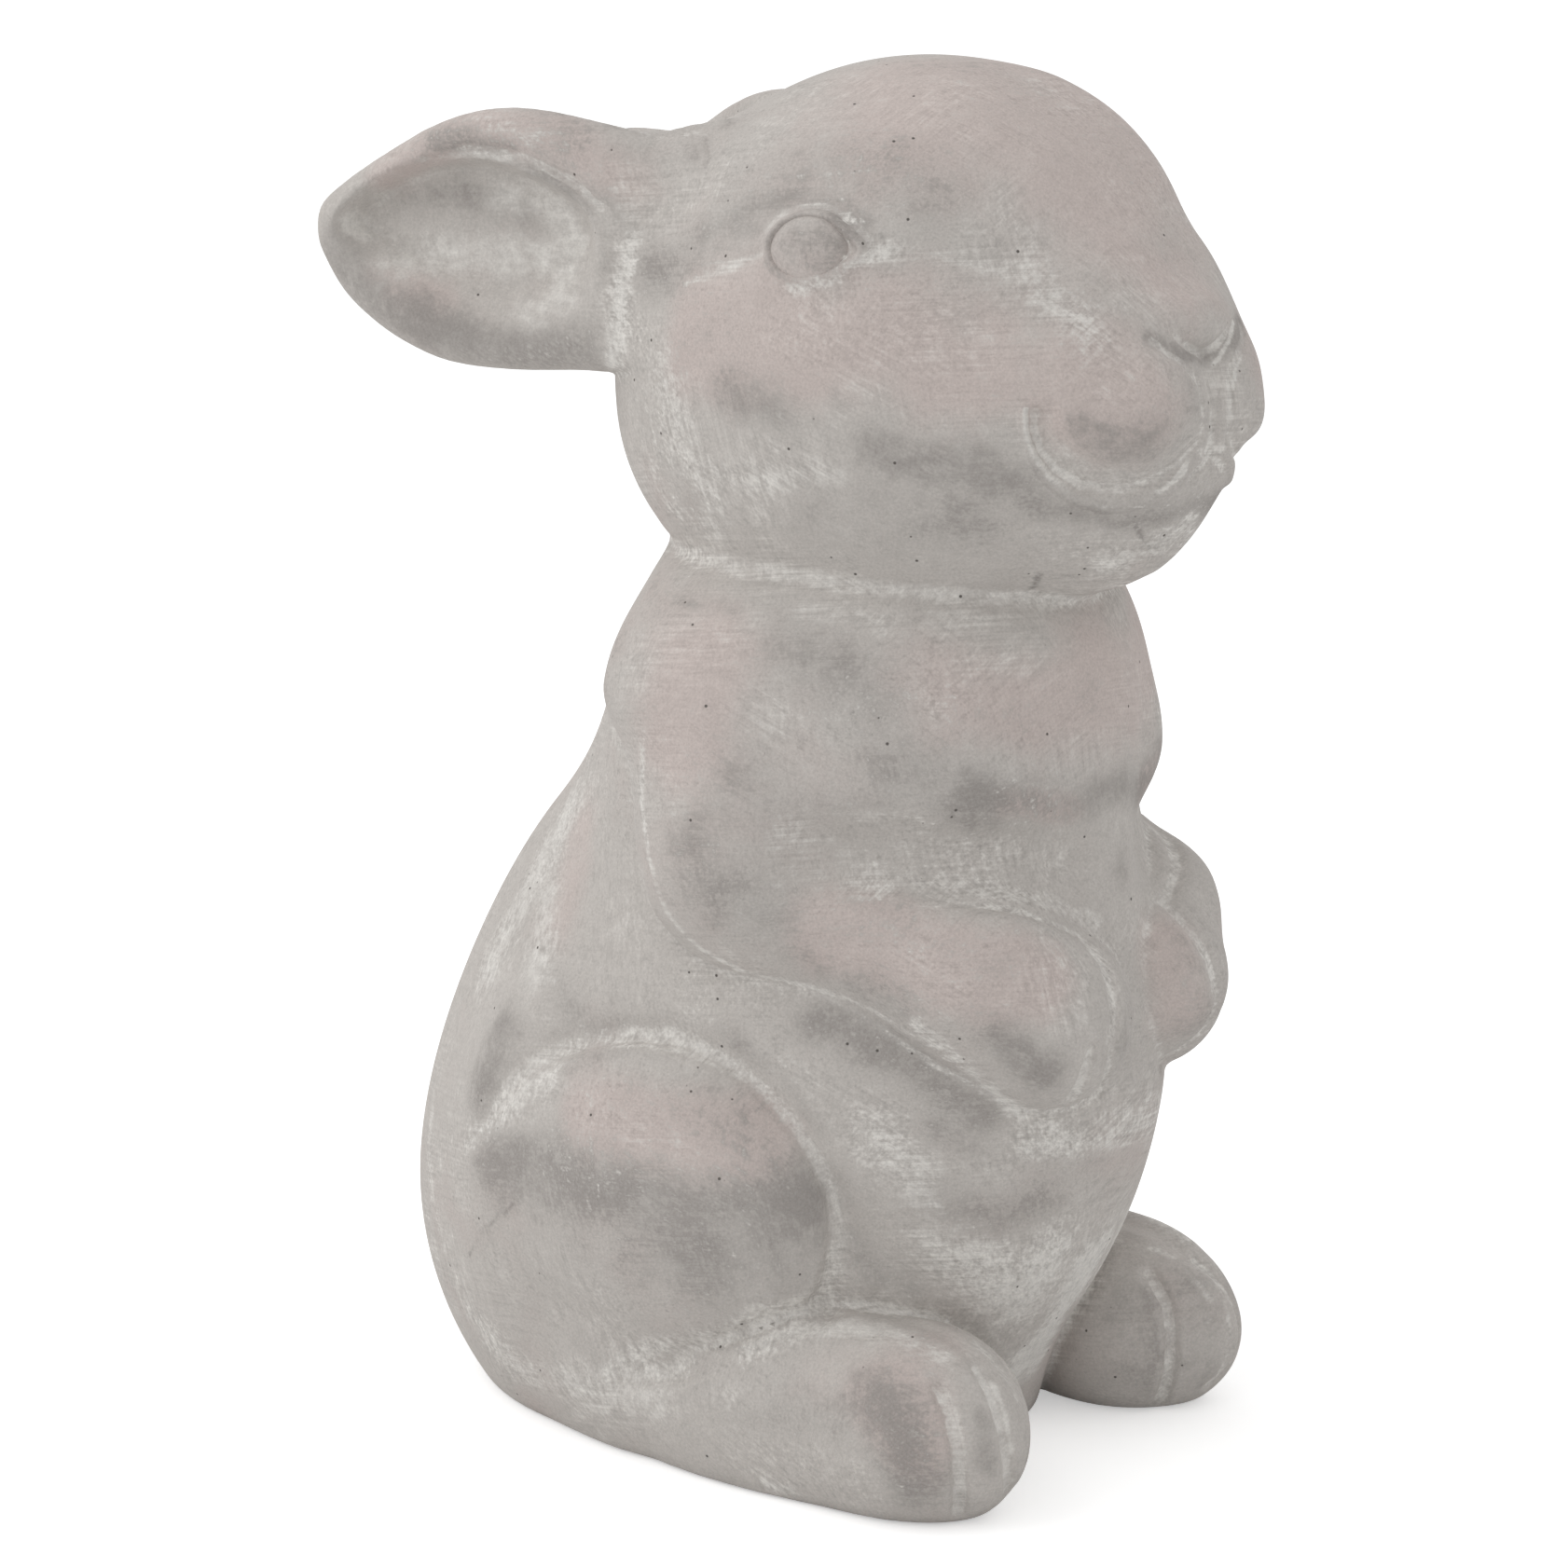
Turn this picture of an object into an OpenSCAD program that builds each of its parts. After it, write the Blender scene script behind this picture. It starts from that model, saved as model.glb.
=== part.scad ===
// Sitting rabbit statue: a hollow cast figure put together from separately moulded pieces.
// The rabbit faces -Y and rests on z = 0, so its own right side is -X. The origin is the
// middle of the ground under it. Each rounded form is a few ovals melted into one another.

/* [Trunk] */
// Height of the joint between trunk and head
neck_height = 198; // [190:1:206]
// Width of the rump
rump_width = 131; // [122:1:140]
// Depth of the rump, front to back
rump_depth = 160; // [150:1:170]
// Height of the rump's whole oval, of which the ground cuts the lowest part away
rump_height = 154; // [144:1:164]
// How far the rump's middle lies behind the origin
rump_back = 16; // [12:1:20]
// How high the rump's middle lies
rump_middle = 46; // [42:1:50]
// Width of the waist
waist_width = 111; // [104:1:118]
// Depth of the waist
waist_depth = 162; // [152:1:170]
// Height of the waist's oval
waist_height = 146; // [138:1:154]
// How far the waist's middle lies before the origin
waist_front = 8; // [4:1:12]
// How high the waist's middle lies
waist_middle = 97; // [92:1:102]
// Width of the chest
chest_width = 119; // [112:1:126]
// Depth of the chest
chest_depth = 120; // [112:1:128]
// Height of the chest's oval
chest_height = 128; // [120:1:136]
// How far the chest's middle lies before the origin
chest_front = 23; // [19:1:27]
// How far the chest's middle lies below the neck joint
chest_drop = 38; // [34:1:42]
// Width of the belly
belly_width = 90; // [82:1:98]
// Depth of the belly
belly_depth = 106; // [100:1:112]
// Height of the belly's oval
belly_height = 130; // [122:1:138]
// How far the belly's middle lies before the origin
belly_front = 29; // [26:1:32]
// How high the belly's middle lies
belly_middle = 81; // [76:1:86]
// Depth of the fold under the chest
fold_depth = 5; // [3:0.5:6]
// Height of that fold
fold_height = 17; // [14:1:20]
// How far the fold's middle lies below the chest's middle
fold_drop = 17; // [14:1:20]
// How far before the chest's middle the fold begins, and again as far on is full
fold_start = 15; // [12:1:18]

/* [Head] */
// Width of the crown of the head
crown_width = 112; // [106:1:118]
// Depth of the crown
crown_depth = 108; // [102:1:114]
// Height of the crown's oval
crown_height = 84; // [78:1:90]
// How far the crown's middle lies before the origin
crown_front = 34; // [31:1:37]
// How far the crown's middle lies above the neck joint
crown_rise = 67; // [63:1:71]
// Width of each cheek
cheek_width = 71; // [66:1:76]
// Depth of a cheek
cheek_depth = 104; // [98:1:110]
// Height of a cheek
cheek_height = 92; // [86:1:98]
// How far a cheek's middle lies off the centre line
cheek_side = 21; // [18:1:24]
// How far a cheek's middle lies behind the crown's middle
cheek_back = 10; // [6:1:14]
// How far a cheek's middle lies above the neck joint
cheek_rise = 36; // [32:1:40]
// Width of the nape, which fills the hollow between the cheeks behind
nape_width = 80; // [74:1:86]
// Depth of the nape's oval
nape_depth = 60; // [54:1:66]
// Height of the nape's oval
nape_height = 84; // [78:1:90]
// How far the nape's middle lies behind the crown's middle
nape_back = 30; // [27:1:33]
// How far the nape's middle lies above the neck joint
nape_rise = 36; // [32:1:40]
// Width of the snout
snout_width = 52; // [48:1:56]
// Depth of the snout
snout_depth = 70; // [66:1:74]
// Height of the snout
snout_height = 57; // [53:1:61]
// How far the snout's middle lies before the crown's middle
snout_front = 36; // [33:1:39]
// How far the snout's middle lies above the neck joint
snout_rise = 33; // [30:1:36]
// Width of each whisker pad
pad_width = 33; // [30:1:36]
// Depth of a whisker pad
pad_depth = 39; // [36:1:42]
// Height of a whisker pad
pad_height = 41; // [38:1:44]
// How far a pad's middle lies off the centre line
pad_side = 15; // [13:1:17]
// How far a pad's middle lies before the snout's middle
pad_front = 17; // [15:1:19]
// How far a pad's middle lies above the snout's middle
pad_rise = 8; // [6:1:10]
// Width of the chin
chin_width = 37; // [34:1:40]
// Depth of the chin
chin_depth = 39; // [36:1:42]
// Height of the chin's oval
chin_height = 41; // [38:1:44]
// How far the chin's middle lies before the snout's middle
chin_front = 6; // [4:1:8]
// How far the chin's middle lies below the snout's middle
chin_drop = 14; // [12:1:16]
// Width of the nose
nose_width = 34; // [30:1:38]
// Depth of the nose's oval
nose_depth = 26; // [24:1:28]
// Height of the nose
nose_height = 18; // [16:1:20]
// How far the nose's middle lies before the snout's middle
nose_front = 22; // [20:1:24]
// How far the nose's middle lies above the snout's middle
nose_rise = 25; // [23:1:27]

/* [Ears] */
// Length of an ear's leaf, part of which the head takes up
ear_length = 98; // [90:1:106]
// Height of the leaf
ear_height = 56; // [50:1:62]
// Thickness of the leaf before it is hollowed
ear_thickness = 14; // [12:1:16]
// Depth of the hollow in the leaf's outer face
ear_hollow = 8; // [6:0.5:9]
// Angle by which each ear leans outwards, towards its tip
ear_spread = 12; // [8:1:16]
// How far the ear's root lies behind the crown's middle
ear_root_back = 24; // [21:1:27]
// How deep the leaf's middle lies inside the head's side at the root
ear_inset = 5; // [3:1:7]
// How far the leaf's middle lies behind the crown's middle
ear_back = 72; // [68:1:76]
// How far the leaf's middle lies above the crown's middle
ear_rise = 3; // [0:1:6]
// How far the leaf's root swells on its inner face
ear_swell = 11; // [9:0.5:13]

/* [Eyes] */
// Diameter of an eyeball
eye_diameter = 14; // [12:0.5:16]
// How far an eyeball stands out of the head
eye_dome = 4; // [3:0.5:5]
// How far an eye lies before the crown's middle
eye_front = 7; // [4:1:10]
// How far an eye lies above the crown's middle
eye_rise = 8; // [5:1:11]

/* [Forelegs] */
// Diameter of a foreleg at the shoulder
shoulder_diameter = 48; // [44:1:50]
// Diameter of a foreleg at the elbow
elbow_diameter = 46; // [42:1:48]
// Diameter of a foreleg at the wrist
wrist_diameter = 41; // [38:1:44]
// Diameter of a forepaw
paw_diameter = 43; // [40:1:46]
// How deep the shoulder's middle lies inside the trunk's side there
shoulder_inset = 13; // [10:1:16]
// How far the shoulder's middle lies behind the chest's middle
shoulder_back = 13; // [10:1:16]
// How far the shoulder's middle lies below the neck joint
shoulder_drop = 28; // [26:1:31]
// How deep the elbow's middle lies inside the trunk's side there
elbow_inset = 12; // [9:1:15]
// How far the elbow's middle lies behind the chest's middle
elbow_back = 1; // [-2:1:4]
// How far the elbow's middle lies below the neck joint
elbow_drop = 65; // [60:1:70]
// How far the wrist's middle lies off the centre line
wrist_side = 29; // [26:1:32]
// How deep the wrist's middle lies inside the trunk's face there
wrist_sink = 9; // [7:1:11]
// How far the wrist's middle lies below the neck joint
wrist_drop = 83; // [80:1:86]
// Gap between the two forepaws
paw_gap = 1.6; // [1:0.2:4]
// How deep the paw's middle lies inside the trunk's face there
paw_sink = 7; // [4:1:10]
// How far the paw's middle lies below the neck joint
paw_drop = 96; // [93:1:99]

/* [Haunches] */
// Width of a haunch's whole oval
haunch_width = 63; // [58:1:68]
// Depth of a haunch, front to back
haunch_depth = 98; // [92:1:104]
// Height of a haunch
haunch_height = 91; // [86:1:96]
// How far a haunch stands out past the trunk's side there
haunch_stand = 8; // [6:1:10]
// How far a haunch's middle lies before the rump's middle
haunch_front = 14; // [11:1:17]
// How high a haunch's middle lies
haunch_middle = 61; // [57:1:65]

/* [Hind feet] */
// Width of a hind foot
foot_width = 40; // [36:1:44]
// Length of a hind foot's oval, heel to toe
foot_length = 118; // [110:1:126]
// Height of the foot's oval, which the ground cuts
foot_height = 54; // [50:1:58]
// How high the foot's middle lies
foot_middle = 17; // [14:1:20]
// How deep the foot's middle lies inside the rump's side there
foot_inset = 3; // [1:1:5]
// How far the foot's middle lies before the origin
foot_front = 30; // [27:1:33]
// Width across the toes
toe_width = 46; // [42:1:50]
// Length of the toes
toe_length = 44; // [40:1:48]
// Height of the toes
toe_height = 39; // [36:1:42]
// How far the toes' middle lies inside the foot's middle, towards the centre line
toe_inset = 3; // [1:1:5]
// How far the toes' middle lies before the foot's middle
toe_front = 32; // [29:1:35]

/* [Tail] */
// Width of the tail
tail_width = 36; // [32:1:40]
// Depth of the tail
tail_depth = 26; // [22:1:30]
// Height of the tail
tail_height = 38; // [34:1:42]
// How high the tail's middle lies
tail_middle = 36; // [32:1:40]
// How far the tail's middle lies inside the line of the back
tail_sink = 2; // [0:1:4]

/* [Casting] */
// Thickness of the walls of trunk and head
wall = 9; // [7:0.5:11]
// Thickness of the plate that closes the trunk from below
plate_thickness = 8; // [6:0.5:10]
// Thickness of the bedding between neighbouring pieces
bedding = 0.4; // [0.3:0.05:0.6]
// Rounding of the edge that stands on the ground
ground_round = 3; // [2:0.5:4]

/* [Hidden] */

// Widths over which neighbouring forms melt together
waist_blend = 30;
chest_blend = 24;
belly_blend = 14;
neck_blend = 8;
cheek_blend = 25;
nape_blend = 12;
snout_blend = 36;
pad_blend = 8;
chin_blend = 12;
nose_blend = 4;
toe_blend = 10;

// Middles and sizes of the ovals
rump = [[0, rump_back, rump_middle], [rump_width, rump_depth, rump_height]];
waist = [[0, -waist_front, waist_middle], [waist_width, waist_depth, waist_height]];
chest = [[0, -chest_front, neck_height - chest_drop], [chest_width, chest_depth, chest_height]];
belly = [[0, -belly_front, belly_middle], [belly_width, belly_depth, belly_height]];
crown = [[0, -crown_front, neck_height + crown_rise], [crown_width, crown_depth, crown_height]];
cheek = [[-cheek_side, -crown_front + cheek_back, neck_height + cheek_rise],
    [cheek_width, cheek_depth, cheek_height]];
nape = [[0, -crown_front + nape_back, neck_height + nape_rise], [nape_width, nape_depth, nape_height]];
snout = [[0, -crown_front - snout_front, neck_height + snout_rise],
    [snout_width, snout_depth, snout_height]];
pad = [snout[0] + [-pad_side, -pad_front, pad_rise], [pad_width, pad_depth, pad_height]];
chin = [snout[0] + [0, -chin_front, -chin_drop], [chin_width, chin_depth, chin_height]];
nose = [snout[0] + [0, -nose_front, nose_rise], [nose_width, nose_depth, nose_height]];
// Counts of rings and of points round a ring
trunk_rings = 26;
trunk_sides = 46;
head_rings = 24;
head_sides = 52;
cavity_rings = 8;
limb_sides = 20;
bend_rings = 7;
end_rings = 4;
oval_rings = 14;
oval_sides = 28;
ear_rings = 16;
ear_sides = 24;
foot_rings = 18;
halvings = 14;
front_crowding = 18;
last_ring_angle = 87;

// Heights of an ear's upper and lower edge from root to tip, as shares of half the leaf's height,
// and the power that rounds its thickness: the lower, the fuller
upper_shares = [0.15, 0.45, 0.66, 0.88, 1, 0.88, 0.57, 0.3, 0];
lower_shares = [0.15, 0.55, 0.8, 0.93, 0.96, 0.91, 0.66, 0.27, 0];
leaf_fullness = 0.6;

// Where along an ear, as shares of its length in angle, the hollow starts and the root's swelling ends,
// and over which share both fade
hollow_start_share = 0.25;
swell_end_share = 0.54;
leaf_fade_share = 0.25;

// Signed distance from point p to an oval, near its surface
function oval(p, m) = let(
    a = [for (i = [0:2]) 2*(p[i] - m[0][i])/m[1][i]],
    k = norm(a),
    g = norm([for (i = [0:2]) 2*a[i]/m[1][i]]))
    k == 0 ? -min(m[1])/2 : k*(k - 1)/g;

// Two forms melted together over a width w, and one form eased off by another
function melt(a, b, w) = min(a, b) - pow(max(w - abs(a - b), 0), 2)/(4*w);
function ease(a, b, w) = -melt(-a, -b, w);

// The same point on the rabbit's own right side
function right(p) = [-abs(p[0]), p[1], p[2]];

// Fold worked in under the chest, fading out towards the sides
function ramp(t) = let(c = min(max(t, 0), 1)) c*c*(3 - 2*c);
function fold(p) = fold_depth*exp(-pow(2*(p[2] - chest[0][2] + fold_drop)/fold_height, 2))
    *ramp((chest[0][1] - fold_start - p[1])/fold_start);

function trunk_form(p) = fold(p) + melt(melt(melt(oval(p, rump), oval(p, waist), waist_blend),
    oval(p, chest), chest_blend), oval(p, belly), belly_blend);
function skull_form(p) =
    melt(melt(oval(p, crown), oval(right(p), cheek), cheek_blend), oval(p, nape), nape_blend);
function face_form(p) = melt(melt(melt(skull_form(p),
    oval(p, snout), snout_blend), oval(right(p), pad), pad_blend), oval(p, chin), chin_blend);
function head_form(p) = melt(face_form(p), oval(p, nose), nose_blend);
function whole_form(p) = melt(trunk_form(p), head_form(p), neck_blend);
function figure_form(p) = ease(whole_form(p), -p[2], ground_round);
function foot_form(p) = ease(melt(oval(p, foot), oval(p, toe), toe_blend), -p[2], ground_round);

// Distance from a along v at which form f, grown by g, ends; far lies outside it
function reach(f, a, v, far, g = 0, near = 0, left = halvings) = let(m = (near + far)/2)
    left == 0 ? m
    : f(a + m*v) < g ? reach(f, a, v, far, g, m, left - 1)
    : reach(f, a, v, m, g, near, left - 1);

// Axes round which the rings of trunk and head are drawn
function trunk_axis(z) = let(t = z/neck_height) [0, (1 - t)*rump_back - t*chest_front, z];
function head_axis(z) = [0, -crown_front, z];
function bearing(b) = [sin(b), -cos(b), 0];
trunk_bearings = [for (i = [0:trunk_sides - 1]) 360*i/trunk_sides];
head_bearings = [for (i = [0:head_sides - 1]) let(b = 360*i/head_sides) b - front_crowding*sin(b)];
outside = function(p) figure_form(p);
inside = function(p) whole_form(p) + wall;
far_off = rump_depth;

// Seats of the limbs: how far the figure's side lies off the centre line, and its face off the middle
function side_at(y, z) = reach(outside, [0, y, z], [-1, 0, 0], far_off);
function face_at(x, z) = reach(outside, [x, 0, z], [0, -1, 0], far_off);
function side_seat(y, z, inset) = [inset - side_at(y, z), y, z];
function face_seat(side, z, sink) = [-side, sink - face_at(-side, z), z];

haunch = [side_seat(rump_back - haunch_front, haunch_middle, haunch_width/2 - haunch_stand),
    [haunch_width, haunch_depth, haunch_height]];
foot = [side_seat(-foot_front, foot_middle, foot_inset), [foot_width, foot_length, foot_height]];
toe = [foot[0] + [toe_inset, -toe_front, 0], [toe_width, toe_length, toe_height]];
foot_outside = function(p) foot_form(p);
leg_path = [
    side_seat(-chest_front + shoulder_back, neck_height - shoulder_drop, shoulder_inset),
    side_seat(-chest_front + elbow_back, neck_height - elbow_drop, elbow_inset),
    face_seat(wrist_side, neck_height - wrist_drop, wrist_sink),
    face_seat((paw_diameter + paw_gap)/2, neck_height - paw_drop, paw_sink)];
leg_radii = [shoulder_diameter, elbow_diameter, wrist_diameter, paw_diameter]/2;

// One level ring of form f, grown by g, over the given bearings
function ring(f, axis, bearings, g = 0) =
    [for (b = bearings) axis + reach(f, axis, bearing(b), far_off, g)*bearing(b)];

trunk_levels = [0, ground_round/4, ground_round,
    each [for (i = [1:trunk_rings]) ground_round + (neck_height - ground_round)*i/trunk_rings]];
head_floor = neck_height + bedding;
head_top = crown[0][2] + reach(outside, crown[0], [0, 0, 1], far_off);
head_levels = [for (i = [0:head_rings]) head_floor + (head_top - head_floor)*sin(last_ring_angle*i/head_rings)];

// Closed skin over rings of equal count, from one end to the other; each end is a tip or flat
module skin(rings, tips = [undef, undef]) {
    n = len(rings[0]);
    m = len(rings);
    low = tips[0] != undef;
    high = tips[1] != undef;
    points = [each [for (r = rings) each r], each (low ? [tips[0]] : []), each (high ? [tips[1]] : [])];
    low_tip = n*m;
    high_tip = n*m + (low ? 1 : 0);
    sides = [for (j = [0:m - 2]) for (i = [0:n - 1]) let(a = j*n + i, b = j*n + (i + 1)%n)
        each [[a, a + n, b], [b, a + n, b + n]]];
    ends = [
        each (low ? [for (i = [0:n - 1]) [low_tip, i, (i + 1)%n]] : [[for (i = [0:n - 1]) i]]),
        each (high ? [for (i = [0:n - 1]) [high_tip, (m - 1)*n + (i + 1)%n, (m - 1)*n + i]]
            : [[for (i = [n - 1:-1:0]) (m - 1)*n + i]])];
    polyhedron(points, [each sides, each ends], convexity = 6);
}

// A whole oval as a closed skin, its tips at its two sides
module oval_skin(m, g = 0) {
    half = m[1]/2 + [g, g, g];
    rings = [for (j = [1:oval_rings - 1]) let(t = 180*j/oval_rings)
        [for (i = [0:oval_sides - 1]) let(a = -360*i/oval_sides)
            m[0] + [-half[0]*cos(t), half[1]*sin(t)*cos(a), half[2]*sin(t)*sin(a)]]];
    skin(rings, [m[0] - [half[0], 0, 0], m[0] + [half[0], 0, 0]]);
}

// The part of the figure that a piece is bedded on: a block between two levels and two bearings
module trunk_block(low, high, from, to) {
    bearings = [for (b = [each trunk_bearings, 360]) if (b >= from && b <= to) b];
    skin([for (z = trunk_levels) if (z >= low && z <= high)
        let(axis = trunk_axis(z)) [axis, each ring(outside, axis, bearings, bedding)]]);
}
module head_block(low, high, from, to) {
    bearings = [for (b = head_bearings) if (b >= from && b <= to) b];
    skin([for (z = head_levels) if (z >= low && z <= high)
        let(axis = head_axis(z)) [axis, each ring(outside, axis, bearings, bedding)]]);
}

// Hollow trunk, closed at the neck, with a pocket below for the plate
cavity_top = neck_height - wall;
function cavity_level(i) = plate_thickness + (cavity_top - plate_thickness)*i/cavity_rings;
function pocket(z, g = 0) = [for (q = ring(inside, trunk_axis(0), trunk_bearings, g)) [q[0], q[1], z]];
module trunk_shell() color("#b3aca6") {
    outer = [for (z = trunk_levels) ring(outside, trunk_axis(z), trunk_bearings)];
    inner = [for (i = [cavity_rings:-1:0]) ring(inside, trunk_axis(cavity_level(i)), trunk_bearings)];
    skin([each inner, pocket(plate_thickness), pocket(0), each outer]);
}

// Hollow head, open where it stands on the neck
module head_shell() color("#b8b1ab") {
    outer = [for (z = head_levels) ring(outside, head_axis(z), head_bearings)];
    ceiling = head_top - wall;
    inner = [for (i = [cavity_rings:-1:0])
        let(z = head_floor + (ceiling - head_floor)*sin(last_ring_angle*i/cavity_rings))
        ring(inside, head_axis(z), head_bearings)];
    skin([each inner, each outer], [head_axis(ceiling), head_axis(head_top)]);
}

// Plate that closes the trunk from below
module base_plate() color("#a39c96")
    linear_extrude(plate_thickness - bedding)
        polygon([for (q = pocket(0, -bedding)) [q[0], q[1]]]);

// Ear leaf: rings across it from root to tip, each with a hollow in its outer face
function edge(shares, t) = let(n = len(shares) - 1, i = min(floor(t*n), n - 1))
    leg_at(shares, i, t*n - i)*ear_height/2;
function ear_ring(t) = let(
    u = -cos(180*t)*ear_length/2, w = sin(180*t),
    d = ear_thickness/2*pow(w, leaf_fullness),
    hollow = ear_hollow*w*ramp((t - hollow_start_share)/leaf_fade_share),
    swell = ear_swell*w*ramp((swell_end_share - t)/leaf_fade_share))
    [for (i = [0:ear_sides - 1]) let(a = -360*i/ear_sides, s = sin(a))
        [s > 0 ? hollow*s*s - d*s : -(d + swell)*s, u,
            edge(cos(a) > 0 ? upper_shares : lower_shares, t)*cos(a)]];
module ear() color("#b5aea8") {
    middle = side_seat(-crown_front + ear_root_back, crown[0][2] + ear_rise, ear_inset)
        + [0, ear_back - ear_root_back, 0];
    difference() {
        translate(middle) rotate([0, 0, ear_spread])
            skin([for (j = [1:ear_rings - 1]) ear_ring(j/ear_rings)],
                [[0, -ear_length/2, 0], [0, ear_length/2, 0]]);
        head_block(crown[0][2] - crown_height/2, head_top, 180, 310);
    }
}

// Eyeball: a pellet pressed onto the side of the head
module eye() color("#a59e98") {
    seat = [0, -crown_front - eye_front, crown[0][2] + eye_rise];
    difference() {
        translate(side_seat(seat[1], seat[2], eye_diameter/2 - eye_dome))
            sphere(d = eye_diameter, $fn = limb_sides);
        head_block(seat[2] - crown_height/4, seat[2] + crown_height/4, 235, 325);
    }
}

// Point and direction at place t along the foreleg's path, from 0 to 1 between two points
function leg_at(v, i, t) = let(
    a = v[max(i - 1, 0)], b = v[i], c = v[i + 1], d = v[min(i + 2, len(v) - 1)])
    (2*b + (c - a)*t + (2*a - 5*b + 4*c - d)*t*t + (3*b - 3*c + d - a)*t*t*t)/2;
function unit(v) = v/norm(v);
function leg_ring(p, v, r) = let(x = unit(cross(v, [1, 0, 0])), y = cross(unit(v), x))
    [for (i = [0:limb_sides - 1]) let(a = 360*i/limb_sides) p + r*(cos(a)*x + sin(a)*y)];

// Foreleg: rings along its path with round ends, bedded on chest and belly
module foreleg() color("#b0a9a3") {
    last = len(leg_path) - 1;
    places = [for (i = [0:last - 1]) for (k = [0:bend_rings - 1]) [i, k/bend_rings], [last - 1, 1]];
    centres = [for (q = places) leg_at(leg_path, q[0], q[1])];
    radii = [for (q = places) leg_at(leg_radii, q[0], q[1])];
    n = len(centres) - 1;
    head_way = unit(centres[1] - centres[0]);
    tail_way = unit(centres[n] - centres[n - 1]);
    start = [for (k = [1:end_rings]) let(a = 90 - 90*k/(end_rings + 1))
        leg_ring(centres[0] - radii[0]*sin(a)*head_way, head_way, radii[0]*cos(a))];
    middle = [for (j = [0:n]) leg_ring(centres[j], centres[min(j + 1, n)] - centres[max(j - 1, 0)], radii[j])];
    end = [for (k = [end_rings:-1:1]) let(a = 90 - 90*k/(end_rings + 1))
        leg_ring(centres[n] + radii[n]*sin(a)*tail_way, tail_way, radii[n]*cos(a))];
    difference() {
        skin([each start, each middle, each end],
            [centres[0] - radii[0]*head_way, centres[n] + radii[n]*tail_way]);
        trunk_block(belly_middle - paw_diameter/2, neck_height, 225, 360);
    }
}

// Hind foot: rings from heel to toes, flat on the ground, bedded on the rump
foot_heel = foot[0][1] + foot_length/2;
foot_tip = foot[0] - [0, reach(foot_outside, foot[0], [0, -1, 0], far_off), 0];
function foot_ring(t, g) = let(
    y = foot_heel + (foot_tip[1] - foot_heel)*(1 - cos(180*t))/2,
    axis = [foot[0][0] + (foot[0][1] > y ? toe_inset : 0)*min(1, (foot[0][1] - y)/toe_front), y, foot_middle])
    [for (i = [0:limb_sides + end_rings - 1]) let(
        a = 360*i/(limb_sides + end_rings), v = [cos(a), 0, sin(a)],
        q = axis + reach(foot_outside, axis, v, far_off, g)*v) [q[0], q[1], max(q[2], 0)]];
module foot_skin(g = 0)
    skin([for (j = [1:foot_rings - 1]) foot_ring(j/foot_rings, g)],
        [[foot[0][0], foot_heel + g, foot_middle], foot_tip - [0, g, 0]]);
module hind_foot() color("#aca59f") difference() {
    foot_skin();
    trunk_block(0, haunch_middle, 240, 345);
}

// Haunch: the thigh's oval, bedded on the rump and on the foot
module haunch_pad() color("#afa8a2") difference() {
    oval_skin(haunch);
    trunk_block(0, haunch_middle + haunch_height*2/3, 200, 345);
    foot_skin(bedding);
}

// Tail, bedded on the back
module tail() color("#b5aea8") {
    seat = [0, rump_back, tail_middle];
    back = seat[1] + reach(outside, seat, [0, 1, 0], far_off);
    difference() {
        oval_skin([[0, back - tail_sink, tail_middle],
            [tail_width, tail_depth, tail_height]]);
        trunk_block(0, tail_middle + tail_height, 150, 210);
    }
}

module left() mirror([1, 0, 0]) children();

trunk_shell();
head_shell();
base_plate();
left() ear();  // ear_left
ear();  // ear_right
left() eye();  // eye_left
eye();  // eye_right
left() foreleg();  // foreleg_left
foreleg();  // foreleg_right
left() haunch_pad();  // haunch_left
haunch_pad();  // haunch_right
left() hind_foot();  // hind_foot_left
hind_foot();  // hind_foot_right
tail();
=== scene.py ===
import math
import bpy
import numpy as np
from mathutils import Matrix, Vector


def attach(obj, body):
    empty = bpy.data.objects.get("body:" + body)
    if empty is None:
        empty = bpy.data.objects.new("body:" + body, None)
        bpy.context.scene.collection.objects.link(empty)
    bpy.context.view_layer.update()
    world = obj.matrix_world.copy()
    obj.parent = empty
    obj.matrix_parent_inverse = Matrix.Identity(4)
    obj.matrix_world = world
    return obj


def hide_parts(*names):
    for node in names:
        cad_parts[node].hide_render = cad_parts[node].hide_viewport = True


# Sitting rabbit, cast in a pale rubbed body. Shapes are worked out in millimetres, meshes are in metres.
# The rabbit faces -Y, so its own right side is -X. Every form below is written for the right side.
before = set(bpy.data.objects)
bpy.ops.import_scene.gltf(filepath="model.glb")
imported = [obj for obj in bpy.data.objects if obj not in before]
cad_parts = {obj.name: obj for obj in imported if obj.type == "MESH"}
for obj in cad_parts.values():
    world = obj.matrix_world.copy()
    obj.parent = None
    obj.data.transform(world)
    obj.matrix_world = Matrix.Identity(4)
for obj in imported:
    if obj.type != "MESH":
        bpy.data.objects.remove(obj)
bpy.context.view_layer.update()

photograph = {
    "size": 1682,
    "azimuth": -54.71,  # degrees, from behind the camera
    "away": 1030.3,  # mm, level distance from the target
    "height": 379.8,
    "target": (-34.6, -20.0, 152.0),
    "pixelsPerMm": 4.96,  # at the target
    "sensor": 36.0,
    "clipEnd": 20,  # m
}
perMetre = 1000  # mm


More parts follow.
